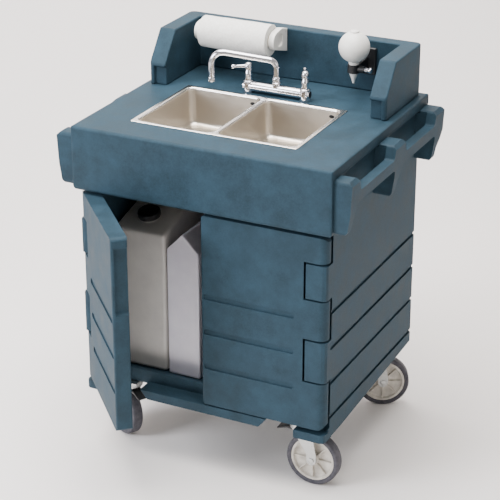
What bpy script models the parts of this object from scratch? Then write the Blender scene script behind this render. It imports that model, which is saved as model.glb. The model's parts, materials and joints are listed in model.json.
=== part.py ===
"""Portable handwash sink: a moulded cart with a two-bowl sink, tanks behind two doors, and four casters.

Metres, +Z up. The origin is on the floor, under the middle of the cart's outline with its left door ajar.
The parts are children of an empty, "cart", whose origin is on the floor below the middle of the apron's
front face, so every place below is counted across from the middle, back from the apron, and up.
"""

import math

import bmesh
import bpy
from mathutils import Vector

# ---------------------------------------------------------------------------------------------------------
# Driving dimensions
# ---------------------------------------------------------------------------------------------------------

GAP = 0.0004               # between pieces that touch on the real cart
CUT_OVERSHOOT = 0.010      # how far a cutter stands out of what it cuts
WELD_REACH = 0.0003        # slivers that a chain of cuts leaves, up to this size, are closed

COUNTER_WIDTH = 0.740
COUNTER_DEPTH = 0.654
COUNTER_HEIGHT = 0.933
DECK_THICKNESS = 0.034
APRON_HEIGHT = 0.177
APRON_THICKNESS = 0.030
DECK_ROUND = 0.009

DECK_SIDE_OVERHANG = 0.013
DECK_REAR_OVERHANG = 0.040
CABINET_FRONT = 0.008      # the doors' faces lie this far behind the apron's
SIDE_WALL = 0.030
BACK_WALL = 0.014
BASE_HEIGHT = 0.195        # underside of the base, where the casters bolt on
BASE_SLAB = 0.012
SILL_HEIGHT = 0.235
SILL_WALL = 0.012
SIDE_BOTTOM = 0.168        # the side panels' lower edge at the front; it climbs to the base at the rear
SIDE_BOTTOM_RUN = 0.110    # how far back it stays level
FOOT_LENGTH = 0.088        # a side panel's foot, under the door
FOOT_TOP = 0.191
TONGUE_HALF = 0.190        # the tray's tongue under the doors, at its top
TONGUE_BOTTOM = 0.174
TONGUE_TAPER = 0.022

DOOR_THICKNESS = 0.044
DOOR_BOTTOM = 0.205
DOOR_TOP_GAP = 0.008
DOOR_MIDDLE_GAP = 0.004
LEFT_DOOR_AJAR = math.radians(47)
HINGE_RADIUS = 0.022
HINGE_CLEARANCE = 0.005
HINGE_PIN_RADIUS = 0.005
TAB_REACH = 0.041          # from the hinge's axis to the tabs' round inner ends
TAB_CLEARANCE = 0.005
UPPER_TAB = (0.577, 0.672)
LOWER_TAB = (0.344, 0.458)

DOOR_EDGE_ROUND = 0.006
DOOR_HINGE_CORNER = 0.020
DOOR_FREE_CORNER = 0.011
PULL_DEPTH = 0.010
PULL_HEIGHT = 0.186
PULL_DROP = 0.026          # from the door's top to the finger pull

GROOVE_PITCH = 0.101
DOOR_GROOVE_LOW = 0.319
SIDE_GROOVE_LOW = 0.231
GROOVE_DEPTH = 0.005
DOOR_GROOVE_DEPTH = 0.004
DOOR_GROOVE_WIDTH = 0.017
SIDE_GROOVE_WIDTH = 0.011

SPLASH_HEIGHT = 0.144
SPLASH_LENGTH = 0.249
SPLASH_WALL = 0.048
SPLASH_BACK_WALL = 0.040
SPLASH_SIDE_LEDGE = 0.020
SPLASH_REAR_LEDGE = 0.018
SPLASH_FRONT_HEIGHT = 0.060
SPLASH_SLOPE_RUN = 0.063

RAIL_REACH = 0.049         # beyond the counter's end
RAIL_TOP_DROP = 0.026
RAIL_BAR_DROP = 0.062
RAIL_BAR_HEIGHT = 0.030
RAIL_BAR_THICKNESS = 0.028
RAIL_POST_DROP = 0.168
RAIL_POST_WIDTHS = (0.046, 0.060, 0.060)
RAIL_POST_FOOT = 0.020     # a post's width at its lower end
RAIL_FRONT_SETBACK = 0.010
RAIL_REAR_SETBACK = 0.012

SINK_WIDTH = 0.478
SINK_OFFSET = -0.0095
SINK_FRONT = 0.098
SINK_RIM = 0.0022
SINK_RIM_MARGIN = 0.013
SINK_DIVIDER = 0.013
SINK_CORNER = 0.005
BOWL_DEPTH = 0.105
BOWL_CORNER = 0.020
BOWL_FOOT = 0.014          # the round between a bowl's walls and its floor
SINK_SHEET = 0.0025
OVERFLOW = (0.016, 0.010)
DRAIN_RADIUS = 0.024
CUTOUT_INSET = 0.009       # the deck's cut-out is this much smaller than the rim, all round

FAUCET_TO_WALL = 0.148     # bridge axis to the backsplash's inner face
FAUCET_TO_SINK = 0.028     # bridge axis to the sink's rim
BRIDGE_RADIUS = 0.0138
BRIDGE_HEIGHT = 0.0172
VALVE_SPACING = 0.169
FAUCET_OFFSET = 0.007
SPOUT_RADIUS = 0.0086
SPOUT_REACH = 0.177
SPOUT_RISE = 0.058
SPOUT_CLIMB = 0.024        # how much higher its run is over the outlet
SPOUT_OUTLET = -0.0065     # the outlet's height from the spout's seat
SPOUT_BENDS = (0.024, 0.033)
SPOUT_TURN = math.radians(198.5)
SPOUT_SEAT = 0.022
SHANK_RADIUS = 0.009
SHANK_DROP = 0.030         # below the deck
VALVE_HEIGHT = 0.047
LEVER_LENGTH = 0.042
LEVER_HEADINGS = {"lever_hot": math.radians(215), "lever_cold": math.radians(116)}

ROLL_RADIUS = 0.045
ROLL_LENGTH = 0.206
ROLL_MIDDLE = -0.153
ROLL_HEIGHT = 0.125
ROLL_TO_WALL = 0.064
CORE_RADIUS = 0.020
ARM_THICKNESS = 0.017

GLOBE_RADIUS = 0.0425
GLOBE_ACROSS = 0.200
GLOBE_HEIGHT = 0.144
GLOBE_TO_WALL = 0.074
NECK_LENGTH = 0.006
PLUNGER_RADIUS = 0.0058

TANK_FRONT = 0.115
TANK_LENGTH = 0.440
WASTE_TANK_WIDTH = 0.158
WASTE_TANK_FRONT_HEIGHT = 0.409
WASTE_TANK_RISE = 0.062
FRESH_TANK_WIDTH = 0.096
FRESH_TANK_SHOULDER = 0.374
FRESH_TANK_RISE = 0.050
TANK_SPACING = 0.006
WASTE_CAP_BACK = 0.064     # behind the tank's front
WASTE_CAP_RADIUS = 0.031
FRESH_CAP_BACK = 0.170
FRESH_CAP_RADIUS = 0.026
HEATER_RADIUS = 0.110
HEATER_HEIGHT = 0.300
PUMP_TO_WALL = 0.170
INLET_WIDTH = 0.062
INLET_HEIGHT = 0.046
INLET_ACROSS = 0.180
INLET_RISE = 0.300

WHEEL_RADIUS = 0.075
WHEEL_WIDTH = 0.032
TYRE_DEPTH = 0.013
CASTER_TRAIL = 0.032
CASTER_INSET = 0.105       # swivel axis from the counter's end
CASTER_FRONT = 0.085
CASTER_REAR = 0.056        # swivel axis in front of the cabinet's rear
CASTER_ANGLES = {
    "front_left": math.radians(150),
    "front_right": 0.0,
    "rear_left": math.radians(160),
    "rear_right": math.radians(25),
}
PLATE_SIZE = 0.095
PLATE_THICKNESS = 0.005
AXLE_RADIUS = 0.006
BRAKE_PIVOT = (-0.010, 0, 0.155)    # from the swivel's axis, along the trail and up

# ---------------------------------------------------------------------------------------------------------
# Places that follow from the driving dimensions
# ---------------------------------------------------------------------------------------------------------

CABINET_HALF = COUNTER_WIDTH / 2 - DECK_SIDE_OVERHANG
CABINET_REAR = COUNTER_DEPTH - DECK_REAR_OVERHANG
INNER_HALF = CABINET_HALF - SIDE_WALL
DECK_BOTTOM = COUNTER_HEIGHT - DECK_THICKNESS
DOOR_BACK = CABINET_FRONT + DOOR_THICKNESS
DOOR_TOP = COUNTER_HEIGHT - APRON_HEIGHT - DOOR_TOP_GAP
HINGE_X = CABINET_HALF - HINGE_RADIUS - 0.001
HINGE_Y = CABINET_FRONT + DOOR_THICKNESS / 2
DOOR_LENGTH = HINGE_X - DOOR_MIDDLE_GAP / 2
TANK_FLOOR = BASE_HEIGHT + BASE_SLAB + GAP
SPLASH_HALF = COUNTER_WIDTH / 2 - SPLASH_SIDE_LEDGE
SPLASH_REAR = COUNTER_DEPTH - SPLASH_REAR_LEDGE
SPLASH_INNER = SPLASH_REAR - SPLASH_BACK_WALL
FAUCET_Y = SPLASH_INNER - FAUCET_TO_WALL
SINK_REAR = FAUCET_Y - FAUCET_TO_SINK
SINK_DEPTH = SINK_REAR - SINK_FRONT
SINK_Y = (SINK_REAR + SINK_FRONT) / 2
BOWL_WIDTH = (SINK_WIDTH - 2 * SINK_RIM_MARGIN - SINK_DIVIDER) / 2
BOWL_LENGTH = SINK_DEPTH - 2 * SINK_RIM_MARGIN
BOWL_X = {
    "left": SINK_OFFSET - (BOWL_WIDTH + SINK_DIVIDER) / 2,
    "right": SINK_OFFSET + (BOWL_WIDTH + SINK_DIVIDER) / 2,
}
RAIL_OUTER = COUNTER_WIDTH / 2 + RAIL_REACH
WASTE_TANK_X = -(INNER_HALF - TANK_SPACING - WASTE_TANK_WIDTH / 2)
FRESH_TANK_X = WASTE_TANK_X + (WASTE_TANK_WIDTH + FRESH_TANK_WIDTH) / 2 + TANK_SPACING

ROLL_Y = SPLASH_INNER - ROLL_TO_WALL
ROLL_Z = COUNTER_HEIGHT + ROLL_HEIGHT
GLOBE_Y = SPLASH_INNER - GLOBE_TO_WALL
GLOBE_Z = COUNTER_HEIGHT + GLOBE_HEIGHT
NECK_Z = GLOBE_Z - GLOBE_RADIUS - NECK_LENGTH
HEATER_X = INNER_HALF - HEATER_RADIUS - 0.015
HEATER_Y = CABINET_REAR - BACK_WALL - SILL_WALL - HEATER_RADIUS - 0.020
PUMP_X = INNER_HALF - PUMP_TO_WALL
PUMP_Y = TANK_FRONT + 0.080
FRESH_TANK_TOP = TANK_FLOOR + FRESH_TANK_SHOULDER + FRESH_TANK_RISE

# The ajar door's rounded free edge is the frontmost point of the cart; the deck's rear edge is the rearmost.
EDGE_INSET = 0.3 * DOOR_EDGE_ROUND
DOOR_FRONTMOST = (
    HINGE_Y - (DOOR_LENGTH - EDGE_INSET) * math.sin(LEFT_DOOR_AJAR)
    - (DOOR_THICKNESS / 2 - EDGE_INSET) * math.cos(LEFT_DOOR_AJAR)
)
CART_Y = -(DOOR_FRONTMOST + COUNTER_DEPTH) / 2

SIDE_VIEW = (math.pi / 2, 0.0, math.pi / 2)    # an outline's x, y become the cart's y, z
FRONT_VIEW = (math.pi / 2, 0.0, 0.0)           # an outline's x, y become the cart's x, z
ALONG_X = (0.0, math.pi / 2, 0.0)              # a turned piece's axis, from z to x
ALONG_Y = (-math.pi / 2, 0.0, 0.0)             # a turned piece's axis, from z to y

# ---------------------------------------------------------------------------------------------------------
# Tools
# ---------------------------------------------------------------------------------------------------------

for leftover in list(bpy.data.objects):
    bpy.data.objects.remove(leftover, do_unlink=True)

PARTS = bpy.data.collections.new("portable_handwash_sink")
CUTTERS = bpy.data.collections.new("cutters")
for group in (PARTS, CUTTERS):
    bpy.context.scene.collection.children.link(group)


def empty(name, place, turn=(0, 0, 0), parent=None):
    """An axis or a frame that pieces are placed on."""
    holder = bpy.data.objects.new(name, None)
    PARTS.objects.link(holder)
    holder.location = place
    holder.rotation_euler = turn
    holder.parent = parent
    return holder


CART = empty("cart", (0, CART_Y, 0))


def material(name, colour, roughness, metallic=0.0):
    """A plain Principled material."""
    made = bpy.data.materials.new(name)
    made.use_nodes = True
    shader = made.node_tree.nodes["Principled BSDF"]
    shader.inputs["Base Color"].default_value = (*colour, 1)
    shader.inputs["Roughness"].default_value = roughness
    shader.inputs["Metallic"].default_value = metallic
    return made


POLYETHYLENE = material("slate_blue_polyethylene", (0.085, 0.140, 0.175), 0.55)
STEEL = material("brushed_stainless_steel", (0.62, 0.60, 0.57), 0.30, 1.0)
CHROME = material("chrome", (0.80, 0.81, 0.82), 0.08, 1.0)
ZINC = material("zinc_plate", (0.66, 0.66, 0.64), 0.30, 1.0)
PAPER = material("paper_towel", (0.85, 0.84, 0.81), 0.90)
CARD = material("cardboard", (0.42, 0.30, 0.19), 0.90)
WHITE_PLASTIC = material("white_plastic", (0.82, 0.82, 0.80), 0.35)
BLACK_PLASTIC = material("black_plastic", (0.015, 0.015, 0.018), 0.45)
GREY_TANK = material("grey_polyethylene", (0.42, 0.41, 0.39), 0.50)
WHITE_TANK = material("natural_polyethylene", (0.62, 0.61, 0.70), 0.45)
HOSE = material("clear_vinyl_hose", (0.60, 0.62, 0.60), 0.30)
RUBBER = material("grey_rubber", (0.055, 0.055, 0.065), 0.60)
HUB_PLASTIC = material("light_grey_plastic", (0.40, 0.39, 0.36), 0.45)


def add(name, mesh, finish, place=(0, 0, 0), turn=(0, 0, 0), parent=CART):
    """A mesh as one named piece of the cart."""
    piece = bpy.data.objects.new(name, mesh)
    PARTS.objects.link(piece)
    piece.location = place
    piece.rotation_euler = turn
    piece.parent = parent
    mesh.materials.clear()
    mesh.materials.append(finish)
    mesh.shade_smooth()
    mesh.set_sharp_from_angle(angle=math.radians(35))
    return piece


def block_mesh(name, size):
    """A box of the given size about its centre."""
    shape = bmesh.new()
    bmesh.ops.create_cube(shape, size=1)
    bmesh.ops.scale(shape, vec=size, verts=shape.verts)
    mesh = bpy.data.meshes.new(name)
    shape.to_mesh(mesh)
    shape.free()
    return mesh


def rod_mesh(name, radius, length, sides=24, end_radius=None):
    """A cylinder or cone frustum along z about its middle."""
    shape = bmesh.new()
    bmesh.ops.create_cone(
        shape, cap_ends=True, segments=sides, radius1=radius,
        radius2=radius if end_radius is None else end_radius, depth=length,
    )
    mesh = bpy.data.meshes.new(name)
    shape.to_mesh(mesh)
    shape.free()
    return mesh


def outline_mesh(name, points, thickness):
    """A flat outline with a thickness, about z = 0."""
    curve = bpy.data.curves.new(name, "CURVE")
    curve.dimensions = "2D"
    curve.fill_mode = "BOTH"
    curve.extrude = thickness / 2
    spline = curve.splines.new("POLY")
    spline.points.add(len(points) - 1)
    for point, (x, y) in zip(spline.points, points):
        point.co = (x, y, 0, 1)
    spline.use_cyclic_u = True
    return meshed(curve)


def tube_mesh(name, points, radius, resolution=3):
    """A round tube along a path, with filled ends."""
    curve = bpy.data.curves.new(name, "CURVE")
    curve.dimensions = "3D"
    curve.bevel_depth = radius
    curve.bevel_resolution = resolution
    curve.use_fill_caps = True
    spline = curve.splines.new("POLY")
    spline.points.add(len(points) - 1)
    for point, place in zip(spline.points, points):
        point.co = (*place, 1)
    return meshed(curve)


def meshed(curve):
    """The curve as a closed mesh, with its caps welded on."""
    holder = bpy.data.objects.new(curve.name, curve)
    CUTTERS.objects.link(holder)
    bpy.context.view_layer.update()
    mesh = bpy.data.meshes.new_from_object(holder.evaluated_get(bpy.context.evaluated_depsgraph_get()))
    bpy.data.objects.remove(holder)
    shape = bmesh.new()
    shape.from_mesh(mesh)
    bmesh.ops.remove_doubles(shape, verts=shape.verts, dist=0.00001)
    bmesh.ops.recalc_face_normals(shape, faces=shape.faces)
    shape.to_mesh(mesh)
    shape.free()
    mesh.name = curve.name
    return mesh


def turned(name, profile, finish, place=(0, 0, 0), turn=(0, 0, 0), parent=CART, steps=28):
    """A turned piece. The profile of (radius, height) points runs down its outer side."""
    mesh = bpy.data.meshes.new(name)
    closed = profile[0][0] > 0
    count = len(profile)
    edges = [(i, i + 1) for i in range(count - 1)]
    if closed:
        edges.append((count - 1, 0))
    mesh.from_pydata([(radius, 0, height) for radius, height in profile], edges, [])
    piece = add(name, mesh, finish, place, turn, parent)
    screw = piece.modifiers.new("turn", "SCREW")
    screw.steps = screw.render_steps = steps
    screw.use_merge_vertices = True
    screw.merge_threshold = 0.0001
    return piece


def rounded(corners, radii, steps=4):
    """The polygon with each corner replaced by an arc of its radius (0 keeps it sharp)."""
    if not isinstance(radii, (list, tuple)):
        radii = [radii] * len(corners)
    points = []
    for i, corner in enumerate(corners):
        here = Vector(corner)
        if not radii[i]:
            points.append(tuple(here))
            continue
        before = (Vector(corners[i - 1]) - here).normalized()
        after = (Vector(corners[(i + 1) % len(corners)]) - here).normalized()
        half = before.angle(after) / 2
        reach = radii[i] / math.tan(half)
        centre = here + (before + after).normalized() * radii[i] / math.sin(half)
        start = here + before * reach - centre
        end = here + after * reach - centre
        sweep = start.angle(end)
        for step in range(steps + 1):
            share = step / steps
            spoke = (start * math.sin((1 - share) * sweep) + end * math.sin(share * sweep)) / math.sin(sweep)
            points.append(tuple(centre + spoke))
    return points


def rounded_path(corners, radius, steps=5):
    """An open path through its corners, each turned with an arc of the radius."""
    arcs = rounded(corners, [0] + [radius] * (len(corners) - 2) + [0], steps)
    return arcs


def rectangle(width, height, centre=(0, 0)):
    """The four corners of an upright rectangle."""
    x, y = centre
    return [
        (x - width / 2, y - height / 2), (x + width / 2, y - height / 2),
        (x + width / 2, y + height / 2), (x - width / 2, y + height / 2),
    ]


def soften(piece, width, segments=2, angle=30):
    """Round the piece's edges."""
    bevel = piece.modifiers.new("soften", "BEVEL")
    bevel.width = width
    bevel.segments = segments
    bevel.limit_method = "ANGLE"
    bevel.angle_limit = math.radians(angle)
    return bevel


def combine(piece, other, operation):
    """Join, cut or intersect the piece with a helper, which is left out of the model."""
    PARTS.objects.unlink(other)
    CUTTERS.objects.link(other)
    other.hide_render = True
    other.display_type = "WIRE"
    step = piece.modifiers.new(operation.lower(), "BOOLEAN")
    step.operation = operation
    step.solver = "EXACT"
    step.object = other


def join(piece, other):
    combine(piece, other, "UNION")


def cut(piece, other):
    combine(piece, other, "DIFFERENCE")


def helper(mesh, place=(0, 0, 0), turn=(0, 0, 0), parent=CART):
    """A cutter or an addition for combine()."""
    return add(mesh.name + "_helper", mesh, POLYETHYLENE, place, turn, parent)


def block(name, low, high, finish, parent=CART):
    """A box from its lowest to its highest corner."""
    size = [b - a for a, b in zip(low, high)]
    middle = [(a + b) / 2 for a, b in zip(low, high)]
    return add(name, block_mesh(name, size), finish, middle, parent=parent)


def block_helper(low, high, parent=CART):
    """A box-shaped helper from its lowest to its highest corner."""
    return block("block_helper", low, high, POLYETHYLENE, parent)


def rod_helper(radius, start, end, parent=CART, sides=24, end_radius=None):
    """A round helper from one point to another."""
    start, end = Vector(start), Vector(end)
    run = end - start
    mesh = rod_mesh("rod", radius, run.length, sides, end_radius)
    turn = Vector((0, 0, 1)).rotation_difference(run).to_euler()
    return helper(mesh, (start + end) / 2, turn, parent)


# ---------------------------------------------------------------------------------------------------------
# Cabinet
# ---------------------------------------------------------------------------------------------------------


def make_base_tray():
    """The floor slab behind the doors: a raised rim inside, a tongue under the doors and a rear skirt."""
    half = INNER_HALF - GAP
    front = max(DOOR_BACK, HINGE_Y + HINGE_RADIUS) + 0.004
    rear = CABINET_REAR - BACK_WALL - GAP
    slab_top = BASE_HEIGHT + BASE_SLAB
    tray = block("base_tray", (-half, front, BASE_HEIGHT), (half, rear, slab_top), POLYETHYLENE)
    for edge in (front, rear - SILL_WALL):
        join(tray, block_helper((-half, edge, slab_top - 0.006), (half, edge + SILL_WALL, SILL_HEIGHT)))
    tongue = [
        (-TONGUE_HALF, DOOR_BOTTOM - 0.004), (-TONGUE_HALF + TONGUE_TAPER, TONGUE_BOTTOM),
        (TONGUE_HALF - TONGUE_TAPER, TONGUE_BOTTOM), (TONGUE_HALF, DOOR_BOTTOM - 0.004),
    ]
    depth = front + 0.006 - CABINET_FRONT
    join(tray, helper(outline_mesh("tongue", tongue, depth), (0, CABINET_FRONT + depth / 2, 0), FRONT_VIEW))
    rear_half = COUNTER_WIDTH / 2 - CASTER_INSET - PLATE_SIZE / 2 - 0.006
    skirt_top = BASE_HEIGHT + 0.006
    join(tray, block_helper((-rear_half, rear - 0.018, TONGUE_BOTTOM), (rear_half, rear - 0.001, skirt_top)))
    return tray


def hinge_bands():
    """The heights of the tabs, and of the door's knuckles between, below and above them."""
    tabs = (LOWER_TAB, UPPER_TAB)
    return tabs, ((FOOT_TOP, LOWER_TAB[0]), (LOWER_TAB[1], UPPER_TAB[0]), (UPPER_TAB[1], DOOR_TOP))


def make_side_panel(name, side):
    """A thick moulded wall: two hinge tabs and a foot at its front, and four grooves across its face."""
    front = HINGE_Y + 0.007
    outer = side * CABINET_HALF
    inner = side * INNER_HALF
    shape = [
        (front, SIDE_BOTTOM), (SIDE_BOTTOM_RUN, SIDE_BOTTOM), (CABINET_REAR, BASE_HEIGHT - GAP),
        (CABINET_REAR, DECK_BOTTOM - GAP), (front, DECK_BOTTOM - GAP),
    ]
    wall = outline_mesh(name, shape, SIDE_WALL)
    panel = add(name, wall, POLYETHYLENE, ((outer + inner) / 2, 0, 0), SIDE_VIEW)
    soften(panel, 0.004)
    tabs, knuckles = hinge_bands()
    axis = (side * HINGE_X, HINGE_Y)
    corner = [
        (outer - side * 0.012, CABINET_FRONT), (outer - side * 0.0035, CABINET_FRONT + 0.0035),
        (outer, CABINET_FRONT + 0.012), (outer, front + 0.02), (inner, front + 0.02),
    ]
    for low, high in tabs:
        arc = [
            (axis[0] - side * TAB_REACH * math.cos(a), axis[1] + TAB_REACH * math.sin(a))
            for a in [math.asin(DOOR_THICKNESS / 2 / TAB_REACH) * t for t in (1, 0.5, 0, -0.5, -1)]
        ]
        tab = outline_mesh("tab", [*arc, *corner, (inner, DOOR_BACK)], high - low)
        join(panel, helper(tab, (0, 0, (low + high) / 2)))
    foot_end = outer - side * FOOT_LENGTH
    foot = [(foot_end, CABINET_FRONT), *corner, (inner, HINGE_Y + 0.002), (foot_end, HINGE_Y + 0.002)]
    foot = outline_mesh("foot", foot, FOOT_TOP - SIDE_BOTTOM)
    join(panel, helper(foot, (0, 0, (FOOT_TOP + SIDE_BOTTOM) / 2)))
    clear = HINGE_RADIUS + HINGE_CLEARANCE
    for low, high in knuckles:
        if low == FOOT_TOP:
            low += 0.012
            start, end = (*axis, FOOT_TOP), (*axis, low + 0.0001)
            cut(panel, rod_helper(clear - 0.012, start, end, sides=28, end_radius=clear))
        cut(panel, rod_helper(clear, (*axis, low), (*axis, high), sides=28))
    cut(panel, rod_helper(
        HINGE_PIN_RADIUS + GAP, (*axis, LOWER_TAB[0] - CUT_OVERSHOOT), (*axis, UPPER_TAB[1] + CUT_OVERSHOOT),
        sides=16,
    ))
    groove_front = 0.040
    for row in range(4):
        height = SIDE_GROOVE_LOW + row * GROOVE_PITCH
        length = CABINET_REAR + CUT_OVERSHOOT - groove_front
        corners = rectangle(length, SIDE_GROOVE_WIDTH, (groove_front + length / 2, height))
        slot = outline_mesh("groove", rounded(corners, [0.005, 0, 0, 0.005], 3), 2 * GROOVE_DEPTH)
        cut(panel, helper(slot, (outer, 0, 0), SIDE_VIEW))
    weld = panel.modifiers.new("weld", "WELD")
    weld.merge_threshold = WELD_REACH
    return panel


def make_back_panel():
    """The sheet that closes the cabinet's rear, with a rounded opening for the power inlet."""
    panel = block(
        "back_panel", (-INNER_HALF + GAP, CABINET_REAR - BACK_WALL, BASE_HEIGHT),
        (INNER_HALF - GAP, CABINET_REAR, DECK_BOTTOM - GAP), POLYETHYLENE,
    )
    soften(panel, 0.002)
    opening = outline_mesh("inlet_opening", rounded(rectangle(INLET_WIDTH, INLET_HEIGHT), 0.006, 3), 0.04)
    cut(panel, helper(opening, (INLET_ACROSS, CABINET_REAR - BACK_WALL / 2, INLET_RISE), FRONT_VIEW))
    return panel


def make_door(name, side, parent):
    """A door leaf with hinge knuckles at its outer edge, three grooved lines and a finger pull.

    It is drawn about its hinge's axis, with its free edge towards the cart's middle.
    """
    inward = -side
    half = DOOR_THICKNESS / 2
    tip = inward * DOOR_LENGTH
    knuckle = [
        (side * HINGE_RADIUS * math.sin(a), -HINGE_RADIUS * math.cos(a))
        for a in [math.pi * t / 8 for t in range(9)]
    ]
    corner = DOOR_EDGE_ROUND
    free_edge = [
        (tip - inward * corner, half), (tip - inward * EDGE_INSET, half - EDGE_INSET),
        (tip, half - corner), (tip, -half + corner),
        (tip - inward * EDGE_INSET, -half + EDGE_INSET), (tip - inward * corner, -half),
    ]
    height = DOOR_TOP - DOOR_BOTTOM
    leaf = outline_mesh(name, knuckle + free_edge, height)
    door = add(name, leaf, POLYETHYLENE, (0, 0, (DOOR_TOP + DOOR_BOTTOM) / 2), parent=parent)
    face = rectangle(DOOR_LENGTH + HINGE_RADIUS, height, ((tip + side * HINGE_RADIUS) / 2, 0))
    radii = [DOOR_HINGE_CORNER if x * side > 0 else DOOR_FREE_CORNER for x, _ in face]
    front = outline_mesh("face", rounded(face, radii, 4), 2 * DOOR_THICKNESS)
    combine(door, helper(front, (0, 0, (DOOR_TOP + DOOR_BOTTOM) / 2), FRONT_VIEW, parent), "INTERSECT")
    tabs, _ = hinge_bands()
    reach = TAB_REACH + TAB_CLEARANCE
    for low, high in tabs:
        cut(door, rod_helper(reach, (0, 0, low - TAB_CLEARANCE), (0, 0, high + TAB_CLEARANCE), parent, 48))
    below, above = DOOR_BOTTOM - CUT_OVERSHOOT, DOOR_TOP + CUT_OVERSHOOT
    cut(door, rod_helper(HINGE_PIN_RADIUS + GAP, (0, 0, below), (0, 0, above), parent, 16))
    groove_length = DOOR_LENGTH - 0.075
    groove_middle = inward * (DOOR_LENGTH - 0.008 - groove_length / 2)
    for row in range(3):
        level = DOOR_GROOVE_LOW + row * GROOVE_PITCH
        corners = rectangle(groove_length, DOOR_GROOVE_WIDTH, (groove_middle, level))
        slot = outline_mesh("groove", rounded(corners, 0.005, 2), 2 * DOOR_GROOVE_DEPTH)
        cut(door, helper(slot, (0, -half, 0), FRONT_VIEW, parent))
    pull = rectangle(2 * PULL_DEPTH, PULL_HEIGHT, (tip, DOOR_TOP - PULL_DROP - PULL_HEIGHT / 2))
    pull = outline_mesh("pull", rounded(pull, 0.008, 3), DOOR_THICKNESS)
    cut(door, helper(pull, (0, half * 0.36, 0), FRONT_VIEW, parent))
    return door


def make_hinge_pin(name, side):
    """A steel rod through the tabs and the door's knuckles."""
    low = LOWER_TAB[0] - 0.040
    high = UPPER_TAB[1] + 0.040
    return add(name, rod_mesh(name, HINGE_PIN_RADIUS, high - low, 12), ZINC,
               (side * HINGE_X, HINGE_Y, (low + high) / 2))


# ---------------------------------------------------------------------------------------------------------
# Counter
# ---------------------------------------------------------------------------------------------------------


def make_counter_deck():
    """The deck and its apron in one moulding, with the sink's cut-out and the faucet's two holes."""
    profile = [
        (0, COUNTER_HEIGHT), (0, COUNTER_HEIGHT - APRON_HEIGHT),
        (APRON_THICKNESS, COUNTER_HEIGHT - APRON_HEIGHT), (APRON_THICKNESS, DECK_BOTTOM),
        (COUNTER_DEPTH, DECK_BOTTOM), (COUNTER_DEPTH, COUNTER_HEIGHT),
    ]
    section = outline_mesh("counter_deck", profile, COUNTER_WIDTH)
    deck = add("counter_deck", section, POLYETHYLENE, turn=SIDE_VIEW)
    soften(deck, DECK_ROUND, 3, 60)
    opening = rectangle(SINK_WIDTH - 2 * CUTOUT_INSET, SINK_DEPTH - 2 * CUTOUT_INSET, (SINK_OFFSET, SINK_Y))
    opening = outline_mesh("sink_opening", rounded(opening, BOWL_CORNER, 3), 0.12)
    cut(deck, helper(opening, (0, 0, COUNTER_HEIGHT)))
    for side in (-1, 1):
        across = FAUCET_OFFSET + side * VALVE_SPACING / 2
        cut(deck, rod_helper(
            SHANK_RADIUS + 0.0015, (across, FAUCET_Y, DECK_BOTTOM - CUT_OVERSHOOT),
            (across, FAUCET_Y, COUNTER_HEIGHT + CUT_OVERSHOOT), sides=16,
        ))
    return deck


def make_backsplash():
    """A back wall and two wings, whose tops slope down to their front ends, with a pocket in each end."""
    front = SPLASH_REAR - SPLASH_LENGTH
    inner = SPLASH_HALF - SPLASH_WALL
    plan = [
        (-SPLASH_HALF, front), (-inner, front), (-inner, SPLASH_INNER), (inner, SPLASH_INNER),
        (inner, front), (SPLASH_HALF, front), (SPLASH_HALF, SPLASH_REAR), (-SPLASH_HALF, SPLASH_REAR),
    ]
    radii = [0.008, 0.004, 0.005, 0.005, 0.004, 0.008, 0.016, 0.016]
    base = COUNTER_HEIGHT + GAP
    wall = outline_mesh("backsplash", rounded(plan, radii, 3), SPLASH_HEIGHT)
    splash = add("backsplash", wall, POLYETHYLENE, (0, 0, base + SPLASH_HEIGHT / 2))
    rise = SPLASH_HEIGHT - SPLASH_FRONT_HEIGHT
    slope = [
        (front - 0.02, base + SPLASH_FRONT_HEIGHT - 0.02 * rise / SPLASH_SLOPE_RUN),
        (front + SPLASH_SLOPE_RUN, base + SPLASH_HEIGHT),
        (front + SPLASH_SLOPE_RUN, base + SPLASH_HEIGHT + 0.03), (front - 0.02, base + SPLASH_HEIGHT + 0.03),
    ]
    cut(splash, helper(outline_mesh("slope", slope, COUNTER_WIDTH), turn=SIDE_VIEW))
    for side in (-1, 1):
        middle = side * (inner + 0.017)
        pocket = rectangle(0.034, 2 * (SPLASH_FRONT_HEIGHT - 0.008), (middle, base))
        cut(splash, helper(outline_mesh("pocket", pocket, 0.016), (0, front, 0), FRONT_VIEW))
    return splash


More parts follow.
